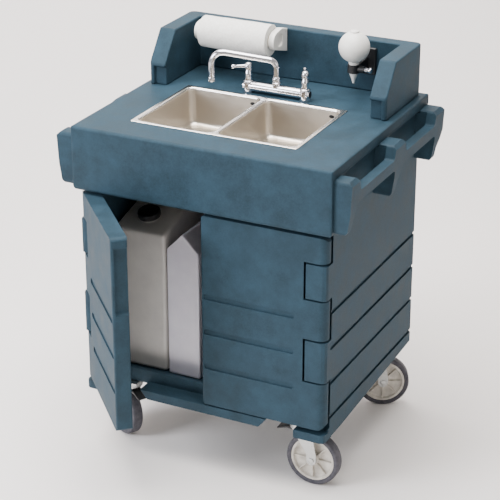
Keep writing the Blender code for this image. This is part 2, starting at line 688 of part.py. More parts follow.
def make_handle_rail(name, side):
    """A grab rail: a bar on three posts, with a hand gap behind the bar between each two posts."""
    top = COUNTER_HEIGHT - RAIL_TOP_DROP
    bottom = COUNTER_HEIGHT - RAIL_POST_DROP
    bar_top = COUNTER_HEIGHT - RAIL_BAR_DROP
    bar_bottom = bar_top - RAIL_BAR_HEIGHT
    posts = rail_posts()
    upper = []
    for start, end in posts:
        upper += [(start - 0.012, bar_top), (start, top), (end, top), (end + 0.012, bar_top)]
    lower = []
    for start, end in reversed(posts):
        foot = start + RAIL_POST_FOOT
        lower += [(end, bar_bottom), (foot + 0.006, bottom + 0.034), (foot, bottom), (start, bottom)]
        lower.append((start, bar_bottom))
    outline = rounded(upper[1:-1] + lower[:-1], 0.009, 3)
    outer = side * RAIL_OUTER
    wall = side * (CABINET_HALF + GAP)
    rail = add(name, outline_mesh(name, outline, abs(outer - wall)), POLYETHYLENE, ((outer + wall) / 2, 0, 0),
               SIDE_VIEW)
    section = [
        (wall - side * 0.02, top + 0.01), (outer - side * 0.010, top + 0.01), (outer - side * 0.010, top),
        (outer, top - 0.010), (outer - side * 0.004, bar_bottom - 0.02),
        (outer - side * 0.011, bottom + 0.010), (outer - side * 0.018, bottom + 0.001),
        (wall - side * 0.02, bottom - 0.001),
    ]
    length = posts[-1][1] - posts[0][0] + 0.04
    middle = (posts[-1][1] + posts[0][0]) / 2
    combine(rail, helper(outline_mesh("section", section, length), (0, middle, 0), FRONT_VIEW), "INTERSECT")
    behind = outer - side * RAIL_BAR_THICKNESS
    for (_, end), (start, _) in zip(posts, posts[1:]):
        low = (min(behind, wall - side * 0.02), end, bar_bottom - 0.02)
        high = (max(behind, wall - side * 0.02), start, top + 0.02)
        cut(rail, block_helper(low, high))
    near, far = sorted((side * (CABINET_HALF - CUT_OVERSHOOT), side * (COUNTER_WIDTH / 2 + GAP)))
    front, rear = posts[0][0] - CUT_OVERSHOOT, posts[-1][1] + CUT_OVERSHOOT
    above = top + CUT_OVERSHOOT
    cut(rail, block_helper((near, front, DECK_BOTTOM - GAP), (far, rear, above)))
    behind_apron = APRON_THICKNESS + DECK_ROUND + GAP
    cut(rail, block_helper((near, front, bottom - CUT_OVERSHOOT), (far, behind_apron, above)))
    return rail


def rail_posts():
    """Where each of the three posts starts and ends, behind the apron's face."""
    first = RAIL_FRONT_SETBACK
    last = COUNTER_DEPTH - RAIL_REAR_SETBACK - RAIL_POST_WIDTHS[2]
    starts = (first, (first + last) / 2, last)
    return [(start, start + width) for start, width in zip(starts, RAIL_POST_WIDTHS)]


# ---------------------------------------------------------------------------------------------------------
# Sink and drain
# ---------------------------------------------------------------------------------------------------------


def bowl_helper(side, grow, top):
    """A bowl's outside or inside, with round corners and a round bottom edge."""
    depth = BOWL_DEPTH + grow
    width = BOWL_WIDTH + 2 * grow
    length = BOWL_LENGTH + 2 * grow
    height = depth + top
    corner = BOWL_CORNER + grow
    shape = bmesh.new()
    rings = []
    foot = BOWL_FOOT + grow
    for inset, level in (
        (0, top), (0.001, -depth + foot), (0.001 + foot * 0.30, -depth + foot * 0.30), (0.001 + foot, -depth),
    ):
        corners = rounded(rectangle(width - 2 * inset, length - 2 * inset), corner - inset * 0.8, 3)
        rings.append([shape.verts.new((x, y, level)) for x, y in corners])
    for upper, lower in zip(rings, rings[1:]):
        for i in range(len(upper)):
            j = (i + 1) % len(upper)
            shape.faces.new((upper[i], lower[i], lower[j], upper[j]))
    shape.faces.new(rings[0])
    shape.faces.new(reversed(rings[-1]))
    bmesh.ops.recalc_face_normals(shape, faces=shape.faces)
    mesh = bpy.data.meshes.new("bowl")
    shape.to_mesh(mesh)
    shape.free()
    return helper(mesh, (BOWL_X[side], SINK_Y, COUNTER_HEIGHT + GAP))


def make_sink_basin():
    """A pressed steel sink: a thin rim on the deck and two bowls with a drain and an overflow hole each."""
    rim = rounded(rectangle(SINK_WIDTH, SINK_DEPTH, (SINK_OFFSET, SINK_Y)), SINK_CORNER, 3)
    base = COUNTER_HEIGHT + GAP
    sink = add("sink_basin", outline_mesh("sink_basin", rim, SINK_RIM), STEEL, (0, 0, base + SINK_RIM / 2))
    for side in BOWL_X:
        join(sink, bowl_helper(side, SINK_SHEET, SINK_RIM / 2))
    for side, across in BOWL_X.items():
        cut(sink, bowl_helper(side, 0, CUT_OVERSHOOT))
        bottom = base - BOWL_DEPTH
        cut(sink, rod_helper(DRAIN_RADIUS, (across, SINK_Y, bottom - 0.01), (across, SINK_Y, bottom + 0.01)))
        hole = rounded(rectangle(*OVERFLOW), OVERFLOW[1] * 0.45, 3)
        hole_x = across + BOWL_WIDTH / 2 - BOWL_CORNER - OVERFLOW[0] / 2
        place = (hole_x, SINK_Y + BOWL_LENGTH / 2, base - 0.018)
        cut(sink, helper(outline_mesh("overflow", hole, 0.016), place, FRONT_VIEW))
    return sink


def make_strainer(name, across):
    """A drain fitting: a flanged cup whose dished floor has a ring of holes."""
    base = COUNTER_HEIGHT + GAP - BOWL_DEPTH + GAP
    inner = DRAIN_RADIUS - 0.002
    cup = [
        (0, -0.006), (inner - 0.004, -0.005), (inner - 0.001, 0.0012), (DRAIN_RADIUS + 0.007, 0.0018),
        (DRAIN_RADIUS + 0.007, 0.0004), (DRAIN_RADIUS - GAP, 0), (DRAIN_RADIUS - GAP, -0.030), (0.0, -0.030),
    ]
    strainer = turned(name, cup, STEEL, (across, SINK_Y, base), steps=20)
    for i in range(6):
        angle = math.radians(60 * i)
        spot = (across + 0.011 * math.cos(angle), SINK_Y + 0.011 * math.sin(angle))
        cut(strainer, rod_helper(0.0028, (*spot, base - 0.04), (*spot, base + 0.01), sides=8))
    return strainer


def make_drain_manifold():
    """Two tailpieces under the bowls and the pipe that joins them."""
    top = COUNTER_HEIGHT - BOWL_DEPTH - 0.032
    level = top - 0.040
    tails = [
        rod_helper(0.019, (across, SINK_Y, level), (across, SINK_Y, top), sides=20)
        for across in BOWL_X.values()
    ]
    left = BOWL_X["left"] - 0.050
    right = BOWL_X["right"] + 0.030
    run = rod_mesh("drain_manifold", 0.017, right - left, 20)
    pipe = add("drain_manifold", run, WHITE_PLASTIC, ((left + right) / 2, SINK_Y, level), ALONG_X)
    for tail in tails:
        join(pipe, tail)
    return pipe


def make_drain_hose():
    """The hose from the manifold down to the waste tank's top."""
    level = COUNTER_HEIGHT - BOWL_DEPTH - 0.072
    start = BOWL_X["left"] - 0.050 - GAP
    end = (WASTE_TANK_X + 0.010, SINK_Y, waste_tank_height(SINK_Y) + 0.006)
    path = rounded_path([(start, SINK_Y, level), (end[0], SINK_Y, level), end], 0.022)
    return add("drain_hose", tube_mesh("drain_hose", path, 0.013, 2), HOSE)


# ---------------------------------------------------------------------------------------------------------
# Faucet
# ---------------------------------------------------------------------------------------------------------


def valve_place(side):
    return (FAUCET_OFFSET + side * VALVE_SPACING / 2, FAUCET_Y, COUNTER_HEIGHT + BRIDGE_HEIGHT)


def make_faucet_bridge():
    """The bar across the faucet, with a valve body and a shank at each end and the spout's seat between."""
    middle = (FAUCET_OFFSET, FAUCET_Y, COUNTER_HEIGHT + BRIDGE_HEIGHT)
    length = VALVE_SPACING + 0.026
    bar = rod_mesh("faucet_bridge", BRIDGE_RADIUS, length, 20)
    bridge = add("faucet_bridge", bar, CHROME, middle, ALONG_X)
    for side in (-1, 1):
        x, y, z = valve_place(side)
        join(bridge, rod_helper(SHANK_RADIUS, (x, y, DECK_BOTTOM - SHANK_DROP), (x, y, z), sides=16))
        join(bridge, rod_helper(0.0145, (x, y, COUNTER_HEIGHT + 0.0005), (x, y, z), sides=16))
        join(bridge, rod_helper(0.0105, (x, y, z), (x, y, z + VALVE_HEIGHT), sides=16, end_radius=0.0085))
    join(bridge, rod_helper(0.0125, middle, (middle[0], middle[1], middle[2] + SPOUT_SEAT), sides=20))
    return bridge


def make_faucet_spout(parent):
    """The swivelling spout, drawn about its axis with its run along x: up, across and down again."""
    corners = [
        (0, 0, 0.004), (0, 0, SPOUT_RISE), (SPOUT_REACH, 0, SPOUT_RISE + SPOUT_CLIMB),
        (SPOUT_REACH, 0, SPOUT_OUTLET),
    ]
    path = rounded(corners, [0, *SPOUT_BENDS, 0], 6)
    spout = add("faucet_spout", tube_mesh("faucet_spout", path, SPOUT_RADIUS, 3), CHROME, parent=parent)
    join(spout, rod_helper(0.0115, (0, 0, 0), (0, 0, 0.014), parent, 20))
    return spout


def make_lever(name, parent):
    """A lever handle, drawn about its stem's axis: a domed hub and a tapered arm with a ball end."""
    profile = [(0, 0.019), (0.006, 0.018), (0.0100, 0.013), (0.0108, 0.0), (0, 0.0)]
    hub = turned(name, profile, CHROME, parent=parent, steps=20)
    arm = rod_mesh("arm", 0.0052, LEVER_LENGTH - 0.006, 12, 0.0040)
    join(hub, helper(arm, ((LEVER_LENGTH - 0.004) / 2 + 0.001, 0, 0.0085), ALONG_X, parent))
    shape = bmesh.new()
    bmesh.ops.create_uvsphere(shape, u_segments=12, v_segments=8, radius=0.0062)
    ball = bpy.data.meshes.new("ball")
    shape.to_mesh(ball)
    shape.free()
    join(hub, helper(ball, (LEVER_LENGTH, 0, 0.0085), parent=parent))
    return hub


# ---------------------------------------------------------------------------------------------------------
# Paper towel holder
# ---------------------------------------------------------------------------------------------------------


def make_towel_arm(name, side):
    """A bracket from the wall to the roll's end, with a stub that the roll's core turns on."""
    inner = ROLL_MIDDLE + side * (ROLL_LENGTH / 2 + 0.002)
    outer = inner + side * ARM_THICKNESS
    wall = SPLASH_INNER - GAP
    front = [
        (ROLL_Y - 0.025 * math.cos(a), ROLL_Z + 0.025 * math.sin(a))
        for a in [math.radians(-80 + 20 * t) for t in range(9)]
    ]
    shape = [*front, (ROLL_Y + 0.030, ROLL_Z + 0.029), (wall, ROLL_Z + 0.020), (wall, ROLL_Z - 0.045),
             (ROLL_Y + 0.030, ROLL_Z - 0.035)]
    plate = outline_mesh(name, shape, ARM_THICKNESS)
    arm = add(name, plate, WHITE_PLASTIC, ((inner + outer) / 2, 0, 0), SIDE_VIEW)
    join(arm, rod_helper(CORE_RADIUS - 0.005, (inner + side * 0.003, ROLL_Y, ROLL_Z),
                         (inner - side * 0.020, ROLL_Y, ROLL_Z), sides=20))
    recess = rounded(rectangle(0.032, 0.036, (ROLL_Y + 0.018, ROLL_Z - 0.002)), 0.012, 3)
    cut(arm, helper(outline_mesh("recess", recess, 0.012), (outer, 0, 0), SIDE_VIEW))
    return arm


def make_towel_roll(parent):
    """The wound paper and, inside it, its card core."""
    half = ROLL_LENGTH / 2
    paper = [(ROLL_RADIUS - 0.0015, half), (ROLL_RADIUS, half - 0.0015), (ROLL_RADIUS, -half + 0.0015),
             (ROLL_RADIUS - 0.0015, -half), (CORE_RADIUS + GAP, -half), (CORE_RADIUS + GAP, half)]
    turned("towel_roll", paper, PAPER, turn=ALONG_X, parent=parent, steps=32)
    inner = CORE_RADIUS - 0.0015
    end = half + 0.0008
    core = [(CORE_RADIUS, end), (CORE_RADIUS, -end), (inner, -end), (inner, end)]
    turned("towel_core", core, CARD, turn=ALONG_X, parent=parent)


# ---------------------------------------------------------------------------------------------------------
# Soap dispenser
# ---------------------------------------------------------------------------------------------------------


def make_soap_bracket():
    """The black wall bracket: a back plate, an arm, and the collar that holds the globe's neck."""
    wall = SPLASH_INNER - GAP
    plate = block("soap_bracket", (GLOBE_ACROSS - 0.016, wall - 0.009, NECK_Z - 0.045),
                  (GLOBE_ACROSS + 0.036, wall, NECK_Z + 0.030), BLACK_PLASTIC)
    soften(plate, 0.002, 1)
    arm = [(GLOBE_Y, NECK_Z - 0.020), (GLOBE_Y + 0.040, NECK_Z - 0.026), (wall - 0.004, NECK_Z - 0.040),
           (wall - 0.004, NECK_Z + 0.004), (GLOBE_Y, NECK_Z - 0.002)]
    join(plate, helper(outline_mesh("arm", arm, 0.022), (GLOBE_ACROSS + 0.002, 0, 0), SIDE_VIEW))
    collar = (GLOBE_ACROSS, GLOBE_Y)
    join(plate, rod_helper(0.017, (*collar, NECK_Z - 0.022), (*collar, NECK_Z), sides=24))
    join(plate, rod_helper(0.0095, (GLOBE_ACROSS, GLOBE_Y, NECK_Z - 0.011),
                           (GLOBE_ACROSS + 0.030, GLOBE_Y, NECK_Z - 0.011), sides=16))
    cut(plate, rod_helper(PLUNGER_RADIUS + GAP, (GLOBE_ACROSS + 0.012, GLOBE_Y, NECK_Z - 0.011),
                          (GLOBE_ACROSS + 0.050, GLOBE_Y, NECK_Z - 0.011), sides=16))
    return plate


def make_soap_pieces(plunger_axis):
    """The globe on the collar, its filler cap, the nozzle under the collar and the push valve."""
    steps = 10
    shell = [
        (GLOBE_RADIUS * math.sin(a), GLOBE_RADIUS * math.cos(a))
        for a in [math.radians(18 + 144 * t / steps) for t in range(steps + 1)]
    ]
    foot = -GLOBE_RADIUS - NECK_LENGTH + GAP
    neck = [(0.0135, -GLOBE_RADIUS + 0.001), (0.0135, foot), (0, foot)]
    globe = [(0, shell[0][1]), *shell, *neck]
    centre = (GLOBE_ACROSS, GLOBE_Y, GLOBE_Z)
    turned("soap_globe", globe, WHITE_PLASTIC, centre, steps=24)
    lid = [(0, 0.0055), (0.008, 0.0050), (0.0118, 0.0025), (0.0125, 0), (0, 0)]
    turned("soap_filler_cap", lid, WHITE_PLASTIC, (*centre[:2], GLOBE_Z + shell[0][1] + GAP), steps=20)
    tip = [(0, 0), (0.0125, 0), (0.0105, -0.006), (0.0040, -0.026), (0.0022, -0.030), (0, -0.030)]
    turned("soap_nozzle", tip, WHITE_PLASTIC, (*centre[:2], NECK_Z - 0.022 - GAP), steps=20)
    push = [(0, 0.034), (0.0068, 0.0335), (0.0078, 0.031), (0.0078, 0.026), (PLUNGER_RADIUS, 0.0235),
            (PLUNGER_RADIUS, 0.0), (0, 0.0)]
    turned("soap_plunger", push, CHROME, turn=ALONG_X, parent=plunger_axis, steps=20)


# ---------------------------------------------------------------------------------------------------------
# Tanks and water system
# ---------------------------------------------------------------------------------------------------------


def waste_tank_height(y):
    """The height of the waste tank's top at a distance behind the apron."""
    climb = min(max(y - TANK_FRONT, 0), TANK_LENGTH * 0.55) / (TANK_LENGTH * 0.55)
    return TANK_FLOOR + WASTE_TANK_FRONT_HEIGHT + WASTE_TANK_RISE * climb


def make_waste_tank(cap_axis):
    """The grey waste can: upright, with a top that climbs to the rear and a screw cap near its front."""
    rear = TANK_FRONT + TANK_LENGTH
    top = waste_tank_height(rear)
    shape = [(TANK_FRONT, TANK_FLOOR), (rear, TANK_FLOOR), (rear, top),
             (TANK_FRONT + TANK_LENGTH * 0.55, top), (TANK_FRONT, waste_tank_height(TANK_FRONT))]
    tank = add("waste_tank", outline_mesh("waste_tank", shape, WASTE_TANK_WIDTH), GREY_TANK,
               (WASTE_TANK_X, 0, 0), SIDE_VIEW)
    soften(tank, 0.012, 2)
    join(tank, helper(rod_mesh("neck", WASTE_CAP_RADIUS - 0.005, 0.030, 20), (0, 0, -0.009), parent=cap_axis))
    radius = WASTE_CAP_RADIUS
    cap = [(0, 0.022), (radius - 0.002, 0.022), (radius, 0.020), (radius, 0.0065), (0, 0.0065)]
    turned("waste_tank_cap", cap, BLACK_PLASTIC, parent=cap_axis)
    return tank


def make_fresh_tank(cap_axis):
    """The white fresh-water can: slim, with a peaked top and a screw cap on its ridge."""
    half = FRESH_TANK_WIDTH / 2
    shoulder = TANK_FLOOR + FRESH_TANK_SHOULDER
    ridge = shoulder + FRESH_TANK_RISE
    shape = [(-half, TANK_FLOOR), (half, TANK_FLOOR), (half, shoulder), (0, ridge), (-half, shoulder)]
    tank = add("fresh_tank", outline_mesh("fresh_tank", shape, TANK_LENGTH), WHITE_TANK,
               (FRESH_TANK_X, TANK_FRONT + TANK_LENGTH / 2, 0), FRONT_VIEW)
    soften(tank, 0.006, 2)
    radius = FRESH_CAP_RADIUS
    join(tank, helper(rod_mesh("neck", radius - 0.004, 0.044, 20), (0, 0, -0.014), parent=cap_axis))
    cap = [(0, 0.026), (radius - 0.002, 0.026), (radius, 0.024), (radius, 0.0085), (0, 0.0085)]
    turned("fresh_tank_cap", cap, WHITE_PLASTIC, parent=cap_axis)
    return tank


def make_water_heater():
    """A small upright electric heater with a domed top and a foot ring."""
    r, h = HEATER_RADIUS, HEATER_HEIGHT
    body = [(0, h), (r * 0.5, h - 0.004), (r * 0.85, h - 0.014), (r, h - 0.034), (r, 0.014),
            (r - 0.010, 0.010), (r - 0.010, 0), (0, 0)]
    return turned("water_heater", body, WHITE_PLASTIC, (HEATER_X, HEATER_Y, TANK_FLOOR))


def make_water_pump():
    """A diaphragm pump: a round motor on a foot plate with a square head."""
    low = (PUMP_X - 0.045, PUMP_Y - 0.085, TANK_FLOOR)
    high = (PUMP_X + 0.045, PUMP_Y + 0.085, TANK_FLOOR + 0.008)
    pump = block("water_pump", low, high, BLACK_PLASTIC)
    level = TANK_FLOOR + 0.038
    join(pump, rod_helper(0.032, (PUMP_X, PUMP_Y - 0.070, level), (PUMP_X, PUMP_Y + 0.040, level)))
    join(pump, block_helper((PUMP_X - 0.038, PUMP_Y + 0.030, TANK_FLOOR + 0.004),
                            (PUMP_X + 0.038, PUMP_Y + 0.080, TANK_FLOOR + 0.080)))
    return pump


def make_hoses():
    """The pickup hose to the pump and the two supply hoses up to the faucet's shanks."""
    radius = 0.007
    tank_spot = (FRESH_TANK_X, TANK_FRONT + TANK_LENGTH * 0.72)
    pump_top = TANK_FLOOR + 0.080 + GAP
    inlet = (PUMP_X - 0.015, PUMP_Y + 0.055)
    loop = FRESH_TANK_TOP + 0.060
    pickup = rounded_path([
        (*tank_spot, FRESH_TANK_TOP + 0.002), (*tank_spot, loop), (*inlet, loop), (*inlet, pump_top),
    ], 0.030)
    add("pickup_hose", tube_mesh("pickup_hose", pickup, radius, 2), HOSE)
    shank_bottom = DECK_BOTTOM - SHANK_DROP - GAP
    left, right = valve_place(-1)[0], valve_place(1)[0]
    cross = shank_bottom - 0.090
    cold = rounded_path([
        (PUMP_X + 0.015, PUMP_Y + 0.055, pump_top), (PUMP_X + 0.015, PUMP_Y + 0.055, cross - 0.080),
        (right, FAUCET_Y, cross - 0.080), (right, FAUCET_Y, shank_bottom),
    ], 0.030)
    add("cold_supply_hose", tube_mesh("cold_supply_hose", cold, radius, 2), HOSE)
    heater_top = TANK_FLOOR + HEATER_HEIGHT + GAP
    behind = FAUCET_Y + 4 * radius
    hot = rounded_path([
        (HEATER_X, HEATER_Y, heater_top), (HEATER_X, HEATER_Y, cross), (right, behind, cross),
        (left, behind, cross), (left, FAUCET_Y, cross), (left, FAUCET_Y, shank_bottom),
    ], 0.012)
    add("hot_supply_hose", tube_mesh("hot_supply_hose", hot, radius, 2), HOSE)


def make_power_inlet():
    """A recessed inlet in the back panel, with a flange outside and three pins inside its well."""
    flange = rounded(rectangle(INLET_WIDTH + 0.016, INLET_HEIGHT + 0.016), 0.006, 3)
    inlet = add("power_inlet", outline_mesh("power_inlet", flange, 0.003), BLACK_PLASTIC,
                (INLET_ACROSS, CABINET_REAR + GAP + 0.0015, INLET_RISE), FRONT_VIEW)
    body = rounded(rectangle(INLET_WIDTH - 0.001, INLET_HEIGHT - 0.001), 0.0055, 3)
    place = (INLET_ACROSS, CABINET_REAR - 0.016, INLET_RISE)
    join(inlet, helper(outline_mesh("body", body, 0.034), place, FRONT_VIEW))
    well = rounded(rectangle(INLET_WIDTH - 0.016, INLET_HEIGHT - 0.016), 0.004, 3)
    place = (INLET_ACROSS, CABINET_REAR + 0.002, INLET_RISE)
    cut(inlet, helper(outline_mesh("well", well, 0.040), place, FRONT_VIEW))
    for across in (-0.012, 0, 0.012):
        join(inlet, rod_helper(0.0025, (INLET_ACROSS + across, CABINET_REAR - 0.026, INLET_RISE),
                               (INLET_ACROSS + across, CABINET_REAR - 0.006, INLET_RISE), sides=8))
    return inlet


# ---------------------------------------------------------------------------------------------------------
# Casters
# ---------------------------------------------------------------------------------------------------------


def make_caster(corner, swivel, wheel_axis, braked):
    """Top plate, swivelling fork, hub and tyre. The swivel's x points the way the wheel trails."""
    plate_top = BASE_HEIGHT - GAP
    plate_bottom = plate_top - PLATE_THICKNESS
    x, y = swivel.location.x, swivel.location.y
    plate = block(f"caster_plate_{corner}", (x - PLATE_SIZE / 2, y - PLATE_SIZE / 2, plate_bottom),
                  (x + PLATE_SIZE / 2, y + PLATE_SIZE / 2, plate_top), ZINC)
    join(plate, rod_helper(0.030, (x, y, plate_bottom - 0.010), (x, y, plate_bottom + 0.002), sides=24))

    crown_top = plate_bottom - 0.010 - GAP
    crown_bottom = crown_top - 0.014
    inside = WHEEL_WIDTH / 2 + 0.003
    metal = 0.003
    crown = rod_mesh(f"caster_fork_{corner}", 0.037, crown_top - crown_bottom, 24)
    fork = add(f"caster_fork_{corner}", crown, ZINC, (0, 0, (crown_top + crown_bottom) / 2), parent=swivel)
    eye = 0.014
    leg = [(-0.030, crown_bottom + 0.004), (CASTER_TRAIL - eye, WHEEL_RADIUS + 0.018)]
    leg += [
        (CASTER_TRAIL + eye * math.cos(a), WHEEL_RADIUS + eye * math.sin(a))
        for a in [math.radians(180 + 30 * t) for t in range(7)]
    ]
    leg += [(CASTER_TRAIL + eye, WHEEL_RADIUS + 0.018), (0.030, crown_bottom + 0.004)]
    for side in (-1, 1):
        plate_y = side * (inside + metal / 2)
        join(fork, helper(outline_mesh("leg", leg, metal), (0, plate_y, 0), FRONT_VIEW, swivel))
    join(fork, rod_helper(AXLE_RADIUS, (CASTER_TRAIL, -inside - metal - 0.003, WHEEL_RADIUS),
                          (CASTER_TRAIL, inside + metal + 0.003, WHEEL_RADIUS), swivel, 12))

    half = WHEEL_WIDTH / 2
    seat = WHEEL_RADIUS - TYRE_DEPTH
    hub = [
        (seat - GAP, half - 0.004), (seat - GAP, -half + 0.004), (seat - 0.006, -half + 0.004),
        (seat - 0.009, -0.004),
        (0.018, -0.004), (0.015, -half), (AXLE_RADIUS + GAP, -half), (AXLE_RADIUS + GAP, half), (0.015, half),
        (0.018, 0.004), (seat - 0.009, 0.004), (seat - 0.006, half - 0.004),
    ]
    turned(f"caster_hub_{corner}", hub, HUB_PLASTIC, turn=ALONG_Y, parent=wheel_axis, steps=18)
    tyre = [
        (seat, half - 0.003), (WHEEL_RADIUS - 0.008, half), (WHEEL_RADIUS - 0.002, half - 0.006),
        (WHEEL_RADIUS, 0), (WHEEL_RADIUS - 0.002, -half + 0.006), (WHEEL_RADIUS - 0.008, -half),
        (seat, -half + 0.003),
    ]
    turned(f"caster_tyre_{corner}", tyre, RUBBER, turn=ALONG_Y, parent=wheel_axis, steps=32)

    if braked:
        pivot = empty(f"brake_axis_{corner}", BRAKE_PIVOT, parent=swivel)
        pedal = [
            (0.006, -0.006), (0.006, 0.004), (-0.004, 0.006), (-0.032, 0.005),
            (-0.062, -0.006), (-0.062, -0.010), (-0.032, -0.001), (-0.006, -0.006),
        ]
        add(f"caster_brake_{corner}", outline_mesh("brake", pedal, 0.030), BLACK_PLASTIC, turn=FRONT_VIEW,
            parent=pivot)


# ---------------------------------------------------------------------------------------------------------
# Assembly
# ---------------------------------------------------------------------------------------------------------

make_base_tray()
make_side_panel("side_panel_left", -1)
make_side_panel("side_panel_right", 1)
make_back_panel()
make_counter_deck()
make_backsplash()
make_handle_rail("handle_rail_left", -1)
make_handle_rail("handle_rail_right", 1)

left_hinge = empty("left_hinge_axis", (-HINGE_X, HINGE_Y, 0), (0, 0, -LEFT_DOOR_AJAR), CART)
right_hinge = empty("right_hinge_axis", (HINGE_X, HINGE_Y, 0), parent=CART)
make_door("door_left", -1, left_hinge)
make_door("door_right", 1, right_hinge)
make_hinge_pin("hinge_pin_left", -1)
make_hinge_pin("hinge_pin_right", 1)

make_sink_basin()
for side_name, across in BOWL_X.items():
    make_strainer(f"strainer_{side_name}", across)
make_drain_manifold()
make_drain_hose()

make_faucet_bridge()
seat_height = COUNTER_HEIGHT + BRIDGE_HEIGHT + SPOUT_SEAT + GAP
make_faucet_spout(empty("spout_axis", (FAUCET_OFFSET, FAUCET_Y, seat_height), (0, 0, SPOUT_TURN), CART))
for lever_name, heading in LEVER_HEADINGS.items():
    x, y, z = valve_place(-1 if lever_name == "lever_hot" else 1)
    make_lever(lever_name, empty(lever_name + "_axis", (x, y, z + VALVE_HEIGHT + GAP), (0, 0, heading), CART))

make_towel_arm("towel_arm_left", -1)
make_towel_arm("towel_arm_right", 1)
make_towel_roll(empty("roll_axis", (ROLL_MIDDLE, ROLL_Y, ROLL_Z), parent=CART))
make_soap_bracket()
make_soap_pieces(empty("plunger_axis", (GLOBE_ACROSS + 0.019, GLOBE_Y, NECK_Z - 0.011), parent=CART))

cap_y = TANK_FRONT + WASTE_CAP_BACK
cap_tilt = math.atan(WASTE_TANK_RISE / (TANK_LENGTH * 0.55))
make_waste_tank(
    empty("waste_cap_axis", (WASTE_TANK_X, cap_y, waste_tank_height(cap_y)), (cap_tilt, 0, 0), CART)
)
make_fresh_tank(
    empty("fresh_cap_axis", (FRESH_TANK_X, TANK_FRONT + FRESH_CAP_BACK, FRESH_TANK_TOP - 0.006), parent=CART)
)
make_water_heater()
make_water_pump()
make_hoses()
make_power_inlet()

for corner_name, trail_angle in CASTER_ANGLES.items():
    across = (COUNTER_WIDTH / 2 - CASTER_INSET) * (1 if corner_name.endswith("right") else -1)
    back = CASTER_FRONT if corner_name.startswith("front") else CABINET_REAR - CASTER_REAR
    swivel_axis = empty(f"swivel_axis_{corner_name}", (across, back, 0), (0, 0, trail_angle), CART)
    wheel = empty(f"wheel_axis_{corner_name}", (CASTER_TRAIL, 0, WHEEL_RADIUS), parent=swivel_axis)
    make_caster(corner_name, swivel_axis, wheel, corner_name.startswith("front"))
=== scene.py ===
"""A portable handwash sink in moulded polyethylene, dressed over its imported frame.

The sections follow the cart as it is put together: cabinet, counter, sink, faucet, towel and soap holders,
tanks and water works, casters, and last the studio.
"""

import json
import math

import bmesh
import bpy
import numpy as np
from mathutils import Euler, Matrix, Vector

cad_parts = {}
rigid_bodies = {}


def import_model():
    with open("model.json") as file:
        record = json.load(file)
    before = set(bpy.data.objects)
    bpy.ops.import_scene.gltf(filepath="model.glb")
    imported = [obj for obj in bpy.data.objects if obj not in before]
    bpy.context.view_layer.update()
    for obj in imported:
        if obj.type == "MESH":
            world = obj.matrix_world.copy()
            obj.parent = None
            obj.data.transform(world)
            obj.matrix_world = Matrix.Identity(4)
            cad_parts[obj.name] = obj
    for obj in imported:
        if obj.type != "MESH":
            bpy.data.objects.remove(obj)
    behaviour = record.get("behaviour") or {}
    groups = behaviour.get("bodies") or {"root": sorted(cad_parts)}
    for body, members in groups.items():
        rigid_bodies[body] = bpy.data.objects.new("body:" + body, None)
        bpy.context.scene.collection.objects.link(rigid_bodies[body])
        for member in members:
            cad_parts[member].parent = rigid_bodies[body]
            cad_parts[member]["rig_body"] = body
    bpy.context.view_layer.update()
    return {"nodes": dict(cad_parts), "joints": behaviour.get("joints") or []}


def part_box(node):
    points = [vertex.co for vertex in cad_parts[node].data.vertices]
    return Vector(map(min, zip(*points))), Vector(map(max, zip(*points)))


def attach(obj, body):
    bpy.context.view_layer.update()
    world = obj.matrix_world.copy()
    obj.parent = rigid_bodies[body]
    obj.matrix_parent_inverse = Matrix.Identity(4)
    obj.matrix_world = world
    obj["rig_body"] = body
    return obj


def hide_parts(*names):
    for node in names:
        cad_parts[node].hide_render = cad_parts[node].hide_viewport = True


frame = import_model()


# --- Moulded shells --------------------------------------------------------------------------------------
# The cart's body is rotationally moulded polyethylene: thick hollow walls with soft edges, coloured all
# through in a slate blue. Every shell comes out of its own mould and is trimmed, then bolted to the next.


def srgb(code):
    """A hex colour such as 5a6b76 as linear red, green and blue with alpha 1."""
    shares = [int(code[i:i + 2], 16) / 255 for i in (0, 2, 4)]
    return [s / 12.92 if s <= 0.04045 else ((s + 0.055) / 1.055) ** 2.4 for s in shares] + [1.0]


def start(name, colour, roughness, **values):
    """A material whose shader has these plain values; returns the material, its tree and its shader."""
    made = bpy.data.materials.new(name)
    made.use_nodes = True
    shader = made.node_tree.nodes["Principled BSDF"]
    shader.inputs["Base Color"].default_value = srgb(colour)
    shader.inputs["Roughness"].default_value = roughness
    for socket, value in values.items():
        shader.inputs[socket.replace("_", " ")].default_value = value
    return made, made.node_tree, shader


def step(tree, kind, settings, **sockets):
    """Add one node. Settings are its own properties; a socket takes a value or another node's output."""
    made = tree.nodes.new(kind)
    for key, value in settings.items():
        setattr(made, key, value)
    for key, value in sockets.items():
        socket = made.inputs[int(key[1:])] if key[1:].isdigit() else made.inputs[key.replace("_", " ")]
        if isinstance(value, bpy.types.NodeSocket):
            tree.links.new(value, socket)
        else:
            socket.default_value = value
    return made


